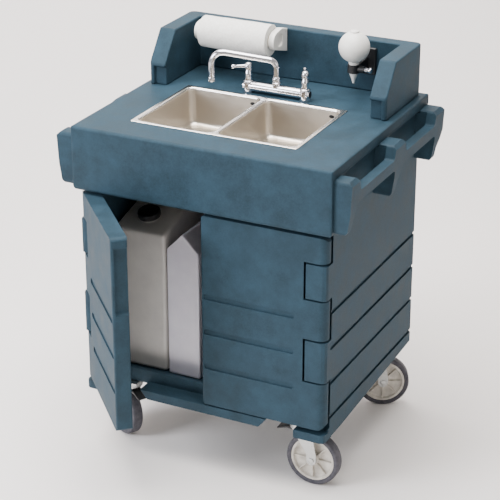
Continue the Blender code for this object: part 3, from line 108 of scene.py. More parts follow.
def polyethylene(name, light, dark, gloss):
    """Rotationally moulded polyethylene: cloudy in tone at hand size, with the mould's fine pebble."""
    made, tree, shader = start(name, light, gloss, IOR=1.51, Specular_IOR_Level=0.14)
    place = step(tree, "ShaderNodeTexCoord", {})
    cloud = step(tree, "ShaderNodeTexNoise", {}, Vector=place.outputs["Object"], Scale=1 / 0.060, Detail=5.0,
                 Roughness=0.62)
    speckle = step(tree, "ShaderNodeTexNoise", {}, Vector=place.outputs["Object"], Scale=1 / 0.0045,
                   Detail=2.0)
    mixed = step(tree, "ShaderNodeMath", {"operation": "MULTIPLY_ADD"}, _0=speckle.outputs["Fac"], _1=0.35,
                 _2=cloud.outputs["Fac"])
    tone = step(tree, "ShaderNodeValToRGB", {}, Fac=mixed.outputs["Value"])
    tone.color_ramp.elements[0].position = 0.44
    tone.color_ramp.elements[0].color = srgb(dark)
    tone.color_ramp.elements[1].position = 0.90
    tone.color_ramp.elements[1].color = srgb(light)
    tree.links.new(tone.outputs["Color"], shader.inputs["Base Color"])
    shine = step(tree, "ShaderNodeMapRange", {}, Value=cloud.outputs["Fac"], From_Min=0.3, From_Max=0.7,
                 To_Min=gloss - 0.07, To_Max=gloss + 0.07)
    tree.links.new(shine.outputs["Result"], shader.inputs["Roughness"])
    pebble = step(tree, "ShaderNodeTexNoise", {}, Vector=place.outputs["Object"], Scale=1 / 0.0025,
                  Detail=3.0)
    ripple = step(tree, "ShaderNodeMath", {"operation": "MULTIPLY_ADD"}, _0=cloud.outputs["Fac"], _1=2.5,
                  _2=pebble.outputs["Fac"])
    bump = step(tree, "ShaderNodeBump", {}, Height=ripple.outputs["Value"], Strength=0.30, Distance=0.0006)
    tree.links.new(bump.outputs["Normal"], shader.inputs["Normal"])
    return made


SLATE = polyethylene("rotomoulded_polyethylene", "2d4452", "21333d", 0.60)


def finish_mesh(name, shape, sharp):
    """A bmesh as a shown object, smooth except where faces meet at more than the sharp angle."""
    mesh = bpy.data.meshes.new(name)
    shape.to_mesh(mesh)
    shape.free()
    mesh.shade_smooth()
    mesh.set_sharp_from_angle(angle=math.radians(sharp))
    made = bpy.data.objects.new(name, mesh)
    bpy.context.scene.collection.objects.link(made)
    return made


def dress(piece, nodes, finish):
    """Put the finish on a piece, hide the CAD nodes that it stands for and ride on their body."""
    piece.data.materials.clear()
    piece.data.materials.append(finish)
    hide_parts(*nodes)
    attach(piece, frame["nodes"][nodes[0]]["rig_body"])
    return piece


def trimmed(node, name, finish, edge=0.0, sharp=32, segments=3):
    """The node's solid with its flat faces made whole again and its crisp edges rounded to a radius."""
    shape = bmesh.new()
    shape.from_mesh(frame["nodes"][node].data)
    bmesh.ops.remove_doubles(shape, verts=shape.verts, dist=2e-5)
    bmesh.ops.dissolve_limit(shape, angle_limit=math.radians(0.6), verts=shape.verts, edges=shape.edges)
    piece = finish_mesh(name, shape, sharp)
    if edge:
        bevel = piece.modifiers.new("edge", "BEVEL")
        bevel.width = edge
        bevel.segments = segments
        bevel.limit_method = "ANGLE"
        bevel.angle_limit = math.radians(sharp)
        bevel.harden_normals = False
        bevel.use_clamp_overlap = True
    weigh = piece.modifiers.new("even", "WEIGHTED_NORMAL")
    weigh.keep_sharp = True
    return dress(piece, [node], finish)


for shell, radius in (
    ("base_tray", 0.003), ("back_panel", 0.0), ("side_panel_left", 0.0022), ("side_panel_right", 0.0022),
    ("counter_deck", 0.0), ("backsplash", 0.006), ("handle_rail_left", 0.0035), ("handle_rail_right", 0.0035),
    ("door_left", 0.003), ("door_right", 0.003),
):
    trimmed(shell, shell + "_moulding", SLATE, radius)


# --- Hinge pins ------------------------------------------------------------------------------------------
# Each door turns on one long zinc-plated rod that is driven up through its knuckles. The plating is bright
# and slightly streaked along the rod.


def zinc_plate():
    """Bright zinc on steel: a cold grey with faint cloudy spangle, nearly smooth."""
    made, tree, shader = start("bright_zinc_plate", "c4c6c4", 0.28, Metallic=1.0)
    place = step(tree, "ShaderNodeTexCoord", {})
    cloud = step(tree, "ShaderNodeTexNoise", {}, Vector=place.outputs["Object"], Scale=1 / 0.025, Detail=2.0)
    shine = step(tree, "ShaderNodeMapRange", {}, Value=cloud.outputs["Fac"], From_Min=0.3, From_Max=0.7,
                 To_Min=0.24, To_Max=0.34)
    tree.links.new(shine.outputs["Result"], shader.inputs["Roughness"])
    tone = step(tree, "ShaderNodeValToRGB", {}, Fac=cloud.outputs["Fac"])
    tone.color_ramp.elements[0].color = srgb("bcbebc")
    tone.color_ramp.elements[1].color = srgb("cccecd")
    tree.links.new(tone.outputs["Color"], shader.inputs["Base Color"])
    return made


ZINC = zinc_plate()


def frame_of(axis):
    """Two unit vectors square to an axis and to each other, so that u x v is the axis."""
    w = np.asarray(axis, float) / np.linalg.norm(axis)
    helper = np.array([0.0, 0.0, 1.0]) if abs(w[2]) < 0.9 else np.array([1.0, 0.0, 0.0])
    u = np.cross(helper, w)
    u /= np.linalg.norm(u)
    return u, np.cross(w, u), w


def turned(profile, centre, axis, steps=64):
    """A profile of (radius, height) carried round an axis: centre + h w + r (u cos t + v sin t)."""
    u, v, w = frame_of(axis)
    r, h = np.asarray(profile, float).T
    t = np.linspace(0, 2 * np.pi, steps, endpoint=False)
    spoke = np.cos(t)[:, None] * u + np.sin(t)[:, None] * v
    return np.asarray(centre) + h[:, None, None] * w + r[:, None, None] * spoke


def skin(name, grids, sharp=38):
    """One closed surface for each grid of points (row, place round the ring): quads from row to row."""
    points, faces, count = [], [], 0
    for grid in grids:
        rows, columns = grid.shape[:2]
        index = np.arange(rows * columns).reshape(rows, columns) + count
        beside = np.roll(index, -1, axis=1)
        quads = np.stack([index[:-1], index[1:], beside[1:], beside[:-1]], axis=-1).reshape(-1, 4)
        points.append(grid.reshape(-1, 3))
        faces.extend(quads.tolist())
        count += rows * columns
    mesh = bpy.data.meshes.new(name)
    mesh.from_pydata(np.concatenate(points).tolist(), [], faces)
    shape = bmesh.new()
    shape.from_mesh(mesh)
    bpy.data.meshes.remove(mesh)
    bmesh.ops.remove_doubles(shape, verts=shape.verts, dist=1e-6)
    bmesh.ops.recalc_face_normals(shape, faces=shape.faces)
    return finish_mesh(name, shape, sharp)


def middle(node):
    """The middle of a node's box and the box's size, as arrays."""
    low, high = (np.array(corner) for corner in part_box(node))
    return (low + high) / 2, high - low


for side in ("left", "right"):
    pin = f"hinge_pin_{side}"
    centre, size = middle(pin)
    r, half = size[0] / 2, size[2] / 2
    rod = [(0, half), (r - 0.001, half), (r, half - 0.001), (r, -half + 0.001), (r - 0.001, -half),
           (0, -half)]
    dress(skin(f"{pin}_rod", [turned(rod, centre, (0, 0, 1), 32)]), [pin], ZINC)


# --- Sink --------------------------------------------------------------------------------------------------
# One sheet of stainless steel, deep drawn into two bowls under a flat rim whose edge is rolled down onto the
# deck. The rim is buffed smooth and the bowls keep a brushed grain; the rim is also painted a lighter tone
# than the bowls, a painted highlight on the rim and painted shade in the bowls.


def stainless():
    """Stainless steel, buffed on the rim and brushed in the bowls, fine grain stretched out from side to
    side; the rim is painted lighter than the bowls, a painted highlight.
    """
    made, tree, shader = start("brushed_stainless_steel", "c6beb3", 0.3, Metallic=1.0)
    place = step(tree, "ShaderNodeTexCoord", {})
    stretch = step(tree, "ShaderNodeMapping", {}, Vector=place.outputs["Object"],
                   Scale=(1 / 0.030, 1 / 0.0008, 1 / 0.030))
    grain = step(tree, "ShaderNodeTexNoise", {}, Vector=stretch.outputs["Vector"], Scale=1.0, Detail=3.0)
    height = step(tree, "ShaderNodeSeparateXYZ", {}, Vector=place.outputs["Object"])
    low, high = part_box("sink_basin")
    # Share of the bowls below the rim: it sets their brushed roughness and, as painted shade, their darker
    # tone.
    bowl_finish_and_painted_shade = step(tree, "ShaderNodeMapRange", {}, Value=height.outputs["Z"], From_Min=high.z - 0.010,
                 From_Max=high.z - 0.003, To_Min=1.0, To_Max=0.0)
    brushed = step(tree, "ShaderNodeMapRange", {}, Value=grain.outputs["Fac"], From_Min=0.3, From_Max=0.7,
                   To_Min=0.30, To_Max=0.36)
    shine = step(tree, "ShaderNodeMix", {"data_type": "FLOAT"}, Factor=bowl_finish_and_painted_shade.outputs["Result"],
                 _2=0.22, _3=brushed.outputs["Result"])
    tree.links.new(shine.outputs["Result"], shader.inputs["Roughness"])
    # Painted light: the rim's f2eee8 is a painted highlight over the bowls' c9c2b8, though the sheet is one
    # steel.
    tone = step(tree, "ShaderNodeMix", {"data_type": "RGBA"}, Factor=bowl_finish_and_painted_shade.outputs["Result"],
                _6=srgb("f2eee8"),
                _7=srgb("c9c2b8"))
    tree.links.new(tone.outputs[2], shader.inputs["Base Color"])
    bump = step(tree, "ShaderNodeBump", {}, Height=grain.outputs["Fac"], Strength=0.05, Distance=0.0002)
    tree.links.new(bump.outputs["Normal"], shader.inputs["Normal"])
    return made


STEEL = stainless()
SHEET = 0.0012
ROLL = 0.0035
SINK_LOW, SINK_HIGH = (np.array(corner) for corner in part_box("sink_basin"))
BOWLS = {side: middle(f"strainer_{side}")[0] for side in ("left", "right")}
BOWL_SPACING = BOWLS["right"][0] - BOWLS["left"][0]
BOWL_WALL = 0.013
BOWL_WIDTH = BOWL_SPACING - 0.013
BOWL_LENGTH = SINK_HIGH[1] - SINK_LOW[1] - 2 * BOWL_WALL
BOWL_DROP = 0.105
BOWL_CORNER = 0.020


def ring(low, high, radii, steps=10):
    """A rectangle's outline with quarter-circle corners of these radii, front left corner first."""
    starts = np.array([np.pi, 1.5 * np.pi, 0, 0.5 * np.pi])
    corners = np.array([(low[0], low[1]), (high[0], low[1]), (high[0], high[1]), (low[0], high[1])])
    inward = np.array([(1, 1), (-1, 1), (-1, -1), (1, -1)])
    radii = np.asarray(radii, float)[:, None]
    t = starts[:, None] + np.linspace(0, np.pi / 2, steps + 1)
    centres = corners + inward * radii
    return (centres[:, None, :] + radii[..., None] * np.stack([np.cos(t), np.sin(t)], -1)).reshape(-1, 2)


def sink_half(side):
    """Half of the sheet, ring by ring: from its rolled outer edge over the rim and down into one bowl."""
    outer = -1 if side == "left" else 1
    centre = BOWLS[side]
    split = (BOWLS["left"][0] + BOWLS["right"][0]) / 2
    near = [SINK_LOW[0], SINK_LOW[1]] if outer < 0 else [split, SINK_LOW[1]]
    far = [split, SINK_HIGH[1]] if outer < 0 else [SINK_HIGH[0], SINK_HIGH[1]]
    top = SINK_HIGH[2]
    rings = []

    def over_rim(inset):
        low = np.array(near) + (inset if outer < 0 else 0, inset)
        high = np.array(far) - (0 if outer < 0 else inset, inset)
        r = max(0.005 - inset, 0.001)
        return ring(low, high, [r, 1e-5, 1e-5, r] if outer < 0 else [1e-5, r, r, 1e-5])

    def down(points):
        edge = np.minimum.reduce([
            points[:, 0] - SINK_LOW[0], SINK_HIGH[0] - points[:, 0], points[:, 1] - SINK_LOW[1],
            SINK_HIGH[1] - points[:, 1],
        ])
        share = np.clip(1 - edge / ROLL, 0, 1)
        return top - (SINK_HIGH[2] - 0.0003 - deck_top) * (1 - np.sqrt(1 - share ** 2))

    for inset in (0.0, 0.0006, 0.0015, 0.0025, ROLL):
        plan = over_rim(inset)
        rings.append(np.column_stack([plan, down(plan)]))
    half = np.array([BOWL_WIDTH, BOWL_LENGTH]) / 2
    mouth = 0.0055
    for t in np.linspace(0, np.pi / 2, 6):
        grow = mouth * (1 - math.sin(t))
        plan = ring(centre[:2] - half - grow, centre[:2] + half + grow, [BOWL_CORNER + grow] * 4)
        rings.append(np.column_stack([plan, np.full(len(plan), top - mouth * (1 - math.cos(t)))]))
    floor = top - BOWL_DROP
    foot = 0.014
    for t in np.linspace(0, np.pi / 2, 8):
        shrink = 0.004 + foot * (1 - math.cos(t))
        plan = ring(centre[:2] - half + shrink, centre[:2] + half - shrink,
                    [BOWL_CORNER - 0.6 * (shrink - 0.004)] * 4)
        rings.append(np.column_stack([plan, np.full(len(plan), floor + foot * (1 - math.sin(t)))]))
    angles = np.arctan2(rings[-1][:, 1] - centre[1], rings[-1][:, 0] - centre[0])
    for radius, drop in ((0.060, 0.0012), (0.034, 0.0022), (0.026, 0.0030)):
        circle = centre[:2] + radius * np.stack([np.cos(angles), np.sin(angles)], -1)
        rings.append(np.column_stack([circle, np.full(len(circle), floor - drop)]))
    return np.array(rings)


deck_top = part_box("counter_deck")[1].z
sink = skin("sink_sheet", [sink_half("left"), sink_half("right")], 60)
for face in sink.data.polygons:
    face.use_smooth = True
gauge = sink.modifiers.new("gauge", "SOLIDIFY")
gauge.thickness = SHEET
gauge.offset = -1
dress(sink, ["sink_basin"], STEEL)

# --- Drain fittings ----------------------------------------------------------------------------------------
# A pressed strainer with a flange sits in each bowl, over the tailpiece of a white plastic manifold, and an
# oval overflow opens high in each rear wall.

for side, centre in BOWLS.items():
    node = f"strainer_{side}"
    low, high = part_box(node)
    floor = SINK_HIGH[2] - BOWL_DROP - 0.0030
    r = (high.x - low.x) / 2
    cup = [
        (0, -0.010), (0.018, -0.0095), (0.0215, -0.004), (0.0225, -0.0002), (r - 0.004, 0.0012),
        (r - 0.0008, 0.0010),
        (r, 0.0002), (r - 0.001, -0.0006), (0.0240, -0.0012), (0.0236, -0.006), (0.0236, low.z - floor),
        (0.0, low.z - floor),
    ]
    grids = [turned(cup, (centre[0], centre[1], floor + 0.0022), (0, 0, 1), 64)]
    knob = [(0, 0.0045), (0.0028, 0.0042), (0.0042, 0.0025), (0.0030, -0.004), (0.0030, -0.0092),
            (0, -0.0094)]
    grids.append(turned(knob, (centre[0], centre[1], floor + 0.0012), (0, 0, 1), 24))
    dress(skin(f"{node}_basket", grids), [node], STEEL)


def dark_hole():
    """The unlit inside of a hole in pressed steel, dull and nearly black."""
    made, tree, shader = start("unlit_recess", "0d0e0f", 0.8)
    place = step(tree, "ShaderNodeTexCoord", {})
    grain = step(tree, "ShaderNodeTexNoise", {}, Vector=place.outputs["Object"], Scale=1 / 0.003)
    tone = step(tree, "ShaderNodeValToRGB", {}, Fac=grain.outputs["Fac"])
    tone.color_ramp.elements[0].color = srgb("08090a")
    tone.color_ramp.elements[1].color = srgb("15171a")
    tree.links.new(tone.outputs["Color"], shader.inputs["Base Color"])
    return made


RECESS = dark_hole()
OVERFLOW_FROM_CORNER = 0.008
OVERFLOW_DROP = 0.020
OVERFLOW_STRETCH = 1.6
for side, centre in BOWLS.items():
    reach = np.array([BOWL_WIDTH / 2 - BOWL_CORNER - OVERFLOW_FROM_CORNER, BOWL_LENGTH / 2 - 0.0010])
    spot = np.array([*(centre[:2] + reach), SINK_HIGH[2] - OVERFLOW_DROP])
    disc = [(0, 0.0004), (0.0044, 0.0004), (0.0048, 0), (0.0044, -0.0004), (0, -0.0004)]
    oval = turned(disc, spot, (0, -1, 0), 40)
    oval[..., 0] = spot[0] + OVERFLOW_STRETCH * (oval[..., 0] - spot[0])
    hole = skin(f"overflow_hole_{side}", [oval])
    hole.data.materials.append(RECESS)
    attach(hole, "cart")


def white_plastic():
    """Injection-moulded white plastic with a semi-gloss skin and a barely uneven tone."""
    made, tree, shader = start("white_abs", "ecebe6", 0.32, IOR=1.53)
    place = step(tree, "ShaderNodeTexCoord", {})
    cloud = step(tree, "ShaderNodeTexNoise", {}, Vector=place.outputs["Object"], Scale=1 / 0.020, Detail=4.0)
    tone = step(tree, "ShaderNodeValToRGB", {}, Fac=cloud.outputs["Fac"])
    tone.color_ramp.elements[0].color = srgb("e4e3dd")
    tone.color_ramp.elements[1].color = srgb("f3f2ee")
    tree.links.new(tone.outputs["Color"], shader.inputs["Base Color"])
    shine = step(tree, "ShaderNodeMapRange", {}, Value=cloud.outputs["Fac"], From_Min=0.3, From_Max=0.7,
                 To_Min=0.27, To_Max=0.38)
    tree.links.new(shine.outputs["Result"], shader.inputs["Roughness"])
    return made


WHITE = white_plastic()
low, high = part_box("drain_manifold")
pipe_r = 0.017
level = low.z + 0.017
tails = []
for centre in BOWLS.values():
    tail = [(0.016, high.z - level), (0.019, high.z - level), (0.019, high.z - level - 0.006),
            (0.0175, high.z - level - 0.008),
            (0.0175, 0.022), (0.021, 0.020), (0.021, 0.006), (0.016, 0.0), (0.0, 0.0),
            (0.0, high.z - level - 0.002),
            (0.016, high.z - level)]
    tails.append(turned(tail, (centre[0], centre[1], level), (0, 0, 1), 40))
span = high.x - low.x
run = [(0, span), (pipe_r - 0.002, span), (pipe_r, span - 0.002), (pipe_r, 0.012), (pipe_r + 0.002, 0.010),
       (pipe_r + 0.002, 0.001), (pipe_r, 0), (0.0135, 0), (0.0135, 0.02), (0, 0.02)]
tails.append(turned(run, (low.x, BOWLS["left"][1], level), (1, 0, 0), 40))
dress(skin("drain_manifold_pipes", tails), ["drain_manifold"], WHITE)

# --- Faucet ------------------------------------------------------------------------------------------------
# A brass bridge faucet under polished chrome: a bar with a quarter-turn valve at each end, two small levers,
# and a slim spout that swivels in the middle. The plating mirrors the room, with faint water spots.


def chrome():
    """Polished chrome plate: nearly a mirror, its gloss broken by faint water spots."""
    made, tree, shader = start("polished_chrome", "e6e6ec", 0.12, Metallic=1.0)
    place = step(tree, "ShaderNodeTexCoord", {})
    spots = step(tree, "ShaderNodeTexNoise", {}, Vector=place.outputs["Object"], Scale=1 / 0.006, Detail=4.0)
    shine = step(tree, "ShaderNodeMapRange", {}, Value=spots.outputs["Fac"], From_Min=0.4, From_Max=0.75,
                 To_Min=0.09, To_Max=0.18)
    tree.links.new(shine.outputs["Result"], shader.inputs["Roughness"])
    return made


CHROME = chrome()
low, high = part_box("faucet_bridge")
valve_y = (low.y + high.y) / 2
BAR_RADIUS = 0.0138
bar_z = deck_top + 0.0172
joint_spot = {j["child"]: np.array(j["pos_m"]) for j in frame["joints"] if "pos_m" in j}
valve_x = (joint_spot["lever_hot"][0], joint_spot["lever_cold"][0])
bar_length = high.x - low.x
bar = [(0, 0), (BAR_RADIUS - 0.003, 0.0), (BAR_RADIUS, 0.003), (BAR_RADIUS, bar_length - 0.003),
       (BAR_RADIUS - 0.003, bar_length), (0, bar_length)]
grids = [turned(bar[::-1], (low.x, valve_y, bar_z), (1, 0, 0), 48)]
for x in valve_x:
    body = [
        (0, 0.0466), (0.0074, 0.0466), (0.0088, 0.0450), (0.0092, 0.038), (0.0104, 0.036), (0.0104, 0.031),
        (0.0094, 0.029), (0.0108, 0.016), (0.0140, 0.014), (0.0146, 0.011), (0.0146, -0.004),
        (0.0152, -0.0162),
        (0.0152, deck_top - bar_z + 0.0006), (0.0090, deck_top - bar_z + 0.0006), (0.0090, low.z - bar_z),
        (0, low.z - bar_z),
    ]
    grids.append(turned(body, (x, valve_y, bar_z), (0, 0, 1), 48))
spout_x = joint_spot["spout"][0]
seat = [(0, 0.0218), (0.0112, 0.0218), (0.0125, 0.0204), (0.0125, 0.016), (0.0112, 0.0145), (0.0118, 0.008),
        (0.0118, -0.004),
        (0, -0.004)]
grids.append(turned(seat, (spout_x, valve_y, bar_z), (0, 0, 1), 48))
dress(skin("faucet_bridge_chrome", grids), ["faucet_bridge"], CHROME)


def black_plastic():
    """Moulded black nylon with a fine matt spark."""
    made, tree, shader = start("black_nylon", "17181b", 0.45, IOR=1.53)
    place = step(tree, "ShaderNodeTexCoord", {})
    grain = step(tree, "ShaderNodeTexNoise", {}, Vector=place.outputs["Object"], Scale=1 / 0.0012, Detail=3.0)
    bump = step(tree, "ShaderNodeBump", {}, Height=grain.outputs["Fac"], Strength=0.25, Distance=0.0002)
    tree.links.new(bump.outputs["Normal"], shader.inputs["Normal"])
    shine = step(tree, "ShaderNodeMapRange", {}, Value=grain.outputs["Fac"], From_Min=0.3, From_Max=0.7,
                 To_Min=0.38, To_Max=0.55)
    tree.links.new(shine.outputs["Result"], shader.inputs["Roughness"])
    return made


BLACK = black_plastic()
plug = [(0, 0.0009), (0.0088, 0.0009), (0.0098, 0.0), (0.0098, -0.001), (0, -0.001)]
end_cap = skin("faucet_bar_end_cap", [turned(plug, (high.x - 0.0002, valve_y, bar_z), (1, 0, 0), 40)])
end_cap.data.materials.append(BLACK)
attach(end_cap, "cart")


def smooth_path(corners, radii, steps=10):
    """The straight runs between corners, with each corner turned on an arc of its own radius."""
    corners = [np.asarray(c, float) for c in corners]
    points = [corners[0]]
    for before, here, after, radius in zip(corners, corners[1:], corners[2:], radii):
        a = (before - here) / np.linalg.norm(before - here)
        b = (after - here) / np.linalg.norm(after - here)
        half = math.acos(np.clip(a @ b, -1, 1)) / 2
        centre = here + (a + b) / np.linalg.norm(a + b) * radius / math.sin(half)
        first = here + a * radius / math.tan(half) - centre
        last = here + b * radius / math.tan(half) - centre
        sweep = math.pi - 2 * half
        share = np.linspace(0, 1, steps + 1)[:, None]
        arc = (np.sin((1 - share) * sweep) * first + np.sin(share * sweep) * last) / math.sin(sweep)
        points.extend(centre + arc)
    points.append(corners[-1])
    return np.array(points)


def tube(path, radii, normal, steps=32):
    """Circles along a flat path, square to it: p + r (n cos t + b sin t), where n is the plane's normal."""
    path = np.asarray(path, float)
    along = np.gradient(path, axis=0)
    along /= np.linalg.norm(along, axis=1)[:, None]
    n = np.asarray(normal, float) / np.linalg.norm(normal)
    b = np.cross(along, n)
    t = np.linspace(0, 2 * np.pi, steps, endpoint=False)
    spoke = np.cos(t)[:, None] * n + np.sin(t)[None, :, None] * b[:, None, :]
    grid = path[:, None, :] + np.asarray(radii, float)[:, None, None] * spoke
    ends = [np.repeat(path[k][None, None, :], steps, axis=1) for k in (0, -1)]
    return np.concatenate([ends[0], grid, ends[1]])


spout_joint = next(j for j in frame["joints"] if j["name"] == "spout_swivel")
root = np.array(spout_joint["pos_m"])
heading = math.radians(198.5)
out = np.array([math.cos(heading), math.sin(heading), 0.0])
up = np.array([0.0, 0.0, 1.0])
SPOUT_RISE, SPOUT_CLIMB, SPOUT_REACH, SPOUT_OUTLET = 0.058, 0.024, 0.177, -0.0065
spots = [(0, 0.004), (0, SPOUT_RISE), (SPOUT_REACH, SPOUT_RISE + SPOUT_CLIMB),
         (SPOUT_REACH, SPOUT_OUTLET + 0.003)]
path = smooth_path([root + out * x + up * z for x, z in spots], (0.024, 0.033), 16)
grids = [tube(path, np.full(len(path), 0.0086), np.cross(out, up), 40)]
collar = [(0, 0.0145), (0.0092, 0.0145), (0.0108, 0.0125), (0.0118, 0.010), (0.0118, 0.002), (0.0108, 0.0004),
          (0, 0.0004)]
grids.append(turned(collar, root, up, 40))
down = path[-1] - path[-2]
down /= np.linalg.norm(down)
tip = [(0, 0.0), (0.0092, 0.0), (0.0098, 0.001), (0.0098, 0.011), (0.0090, 0.0125), (0, 0.0125)]
grids.append(turned(tip, path[-1] + down * 0.0015, -down, 40))
dress(skin("faucet_spout_chrome", grids), ["faucet_spout"], CHROME)

LEVER = 0.042
for name, turn in (("lever_hot", 215), ("lever_cold", 116)):
    joint = next(j for j in frame["joints"] if j["child"] == name)
    base = np.array(joint["pos_m"]) + (0, 0, 0.0004)
    away = np.array([math.cos(math.radians(turn)), math.sin(math.radians(turn)), 0.0])
    hub = [(0, 0.019), (0.003, 0.0187), (0.0060, 0.0176), (0.0088, 0.0148), (0.0102, 0.0105),
           (0.0108, 0.0060),
           (0.0105, 0.0010), (0.0096, 0.0), (0, 0.0)]
    arm = [(0, LEVER + 0.0060), (0.0034, LEVER + 0.0052), (0.0056, LEVER + 0.0028), (0.0062, LEVER),
           (0.0052, LEVER - 0.0045), (0.0040, LEVER - 0.0085), (0.0041, LEVER - 0.016), (0.0052, 0.010),
           (0.0052, 0.0), (0, 0)]
    grids = [turned(hub, base, up, 40), turned(arm, base + up * 0.0085, away, 28)]
    dress(skin(f"{name}_chrome", grids), [name], CHROME)

# --- Paper towel holder ------------------------------------------------------------------------------------
# Two moulded arms screwed to the back wall hold a roll of creped paper on its card core. The paper is soft
# white and dull, embossed with small dimples, and the outer lap ends in a straight torn edge.


def paper_towel():
    """Creped, embossed paper: dull white with dimples a few millimetres apart, their bottoms painted darker
    as painted shade.
    """
    made, tree, shader = start("embossed_paper", "f1efe9", 0.92, Sheen_Weight=0.15)
    place = step(tree, "ShaderNodeTexCoord", {})
    dimple = step(tree, "ShaderNodeTexVoronoi", {}, Vector=place.outputs["Object"], Scale=1 / 0.0065)
    crepe = step(tree, "ShaderNodeTexNoise", {}, Vector=place.outputs["Object"], Scale=1 / 0.002, Detail=3.0)
    relief = step(tree, "ShaderNodeMath", {"operation": "MULTIPLY_ADD"}, _0=crepe.outputs["Fac"], _1=0.5,
                  _2=dimple.outputs["Distance"])
    bump = step(tree, "ShaderNodeBump", {}, Height=relief.outputs["Value"], Strength=0.35, Distance=0.0008)
    tree.links.new(bump.outputs["Normal"], shader.inputs["Normal"])
    # Painted shade: the dimple bottoms, where the Voronoi distance is small, are coloured darker than the
    # paper between them.
    tone = step(tree, "ShaderNodeValToRGB", {}, Fac=dimple.outputs["Distance"])
    tone.color_ramp.elements[0].color = srgb("e6e4de")
    tone.color_ramp.elements[1].color = srgb("f6f5f1")
    tree.links.new(tone.outputs["Color"], shader.inputs["Base Color"])
    return made


def cardboard():
    """Grey-brown core board, with the spiral seam of its winding."""
    made, tree, shader = start("spiral_wound_card", "a98f6c", 0.9)
    place = step(tree, "ShaderNodeTexCoord", {})
    fibre = step(tree, "ShaderNodeTexNoise", {}, Vector=place.outputs["Object"], Scale=1 / 0.002, Detail=4.0)
    tone = step(tree, "ShaderNodeValToRGB", {}, Fac=fibre.outputs["Fac"])
    tone.color_ramp.elements[0].color = srgb("957b59")
    tone.color_ramp.elements[1].color = srgb("b9a07c")
    tree.links.new(tone.outputs["Color"], shader.inputs["Base Color"])
    return made


PAPER, CARD = paper_towel(), cardboard()
centre, size = middle("towel_roll")
R, half = size[2] / 2 - 0.0006, size[0] / 2
inner = 0.0208
LAP = 0.0011
across = np.concatenate([[half - 0.0012], np.linspace(half - 0.003, -half + 0.003, 60), [-half + 0.0012]])
t = np.linspace(0, 2 * np.pi, 128, endpoint=False)
radius = R - LAP * ((t + 1.9) % (2 * np.pi)) / (2 * np.pi)
wave = 0.00035 * np.sin(9 * across[:, None] / half + 3 * t) + 0.0003 * np.sin(4 * t)
body = (radius - np.abs(wave))[..., None]
spoke = np.stack([np.zeros_like(t), np.cos(t), np.sin(t)], -1)
outer = np.array(centre) + across[:, None, None] * np.array([1.0, 0, 0]) + body * spoke
laps = np.linspace(1, 0, 14)[:, None]
ends = []
for sign in (1, -1):
    depth = sign * (half - 0.0004 - 0.0005 * (np.arange(14) % 2))
    r = inner + (radius - 0.0012 - inner) * laps
    ends.append(np.array(centre) + depth[:, None, None] * np.array([1.0, 0, 0]) + r[..., None] * spoke)
roll = np.concatenate([ends[0][::-1], outer, ends[1], ends[0][-1:]])
dress(skin("towel_roll_paper", [roll], 50), ["towel_roll"], PAPER)

centre, size = middle("towel_core")
R, half = size[2] / 2, size[0] / 2
core = [(R - 0.0002, half), (R, half - 0.0003), (R, -half + 0.0003), (R - 0.0002, -half), (R - 0.0015, -half),
        (R - 0.0015, half),
        (R - 0.0002, half)]
dress(skin("towel_core_card", [turned(core, centre, (1, 0, 0), 64)]), ["towel_core"], CARD)
for side in ("left", "right"):
    trimmed(f"towel_arm_{side}", f"towel_arm_{side}_moulding", WHITE, 0.0022, 32, 3)

# --- Soap dispenser ----------------------------------------------------------------------------------------
# A white globe of liquid soap stands on a black bracket screwed to the wall. Under it are a pointed nozzle
# and a chrome push valve, and a small filler cap closes its top.

low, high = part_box("soap_globe")
R = (high.x - low.x) / 2
centre = np.array([(low.x + high.x) / 2, (low.y + high.y) / 2, low.z + 0.0056 + R])
t = np.radians(np.linspace(18, 162, 40))
ball = [(0, R * math.cos(t[0]))] + [(R * math.sin(a), R * math.cos(a)) for a in t]
seam = [(r + 0.0005 * math.exp(-((h / 0.0012) ** 2)) - 0.0005, h) for r, h in ball[1:]]
ball = [ball[0], *seam, (0.0140, -R + 0.0012), (0.0140, -R - 0.0030), (0.0135, -R - 0.0054), (0, -R - 0.0054)]
dress(skin("soap_globe_shell", [turned(ball, centre, up, 96)]), ["soap_globe"], WHITE)


def knurled(profile, centre, axis, teeth, depth, steps_each=4):
    """A turned profile whose widest rows are pulled in between its teeth: r - depth (1 - cos(n t)) / 2."""
    steps = teeth * steps_each
    u, v, w = frame_of(axis)
    r, h = np.asarray(profile, float).T
    t = np.linspace(0, 2 * np.pi, steps, endpoint=False)
    ribbed = (r > r.max() - depth * 0.6)[:, None] * depth * (1 - np.cos(teeth * t)) / 2
    reach = (r[:, None] - ribbed)[..., None]
    return np.asarray(centre) + h[:, None,
                                  None] * w + reach * (np.cos(t)[:, None] * u + np.sin(t)[:, None] * v)


low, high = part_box("soap_filler_cap")
r, h = (high.x - low.x) / 2, high.z - low.z
lid = [(0, h), (r * 0.5, h - 0.0002), (r * 0.85, h - 0.0010), (r - 0.0004, h - 0.0024), (r, h - 0.0032),
       (r, 0.0006), (r - 0.0006, 0),
       (0, 0)]
place = ((low.x + high.x) / 2, (low.y + high.y) / 2, low.z)
dress(skin("soap_filler_cap_knurled", [knurled(lid, place, up, 22, 0.0006)]), ["soap_filler_cap"], WHITE)

low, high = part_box("soap_nozzle")
place = ((low.x + high.x) / 2, (low.y + high.y) / 2, high.z)
tip = [(0, 0), (0.0118, 0), (0.0125, -0.0008), (0.0122, -0.003), (0.0108, -0.006), (0.0082, -0.012),
       (0.0056, -0.019),
       (0.0038, -0.026), (0.0030, -0.029), (0.0024, -0.0298), (0.0012, -0.0298), (0.0012, -0.024),
       (0, -0.024)]
dress(skin("soap_nozzle_cone", [turned(tip, place, up, 40)]), ["soap_nozzle"], WHITE)

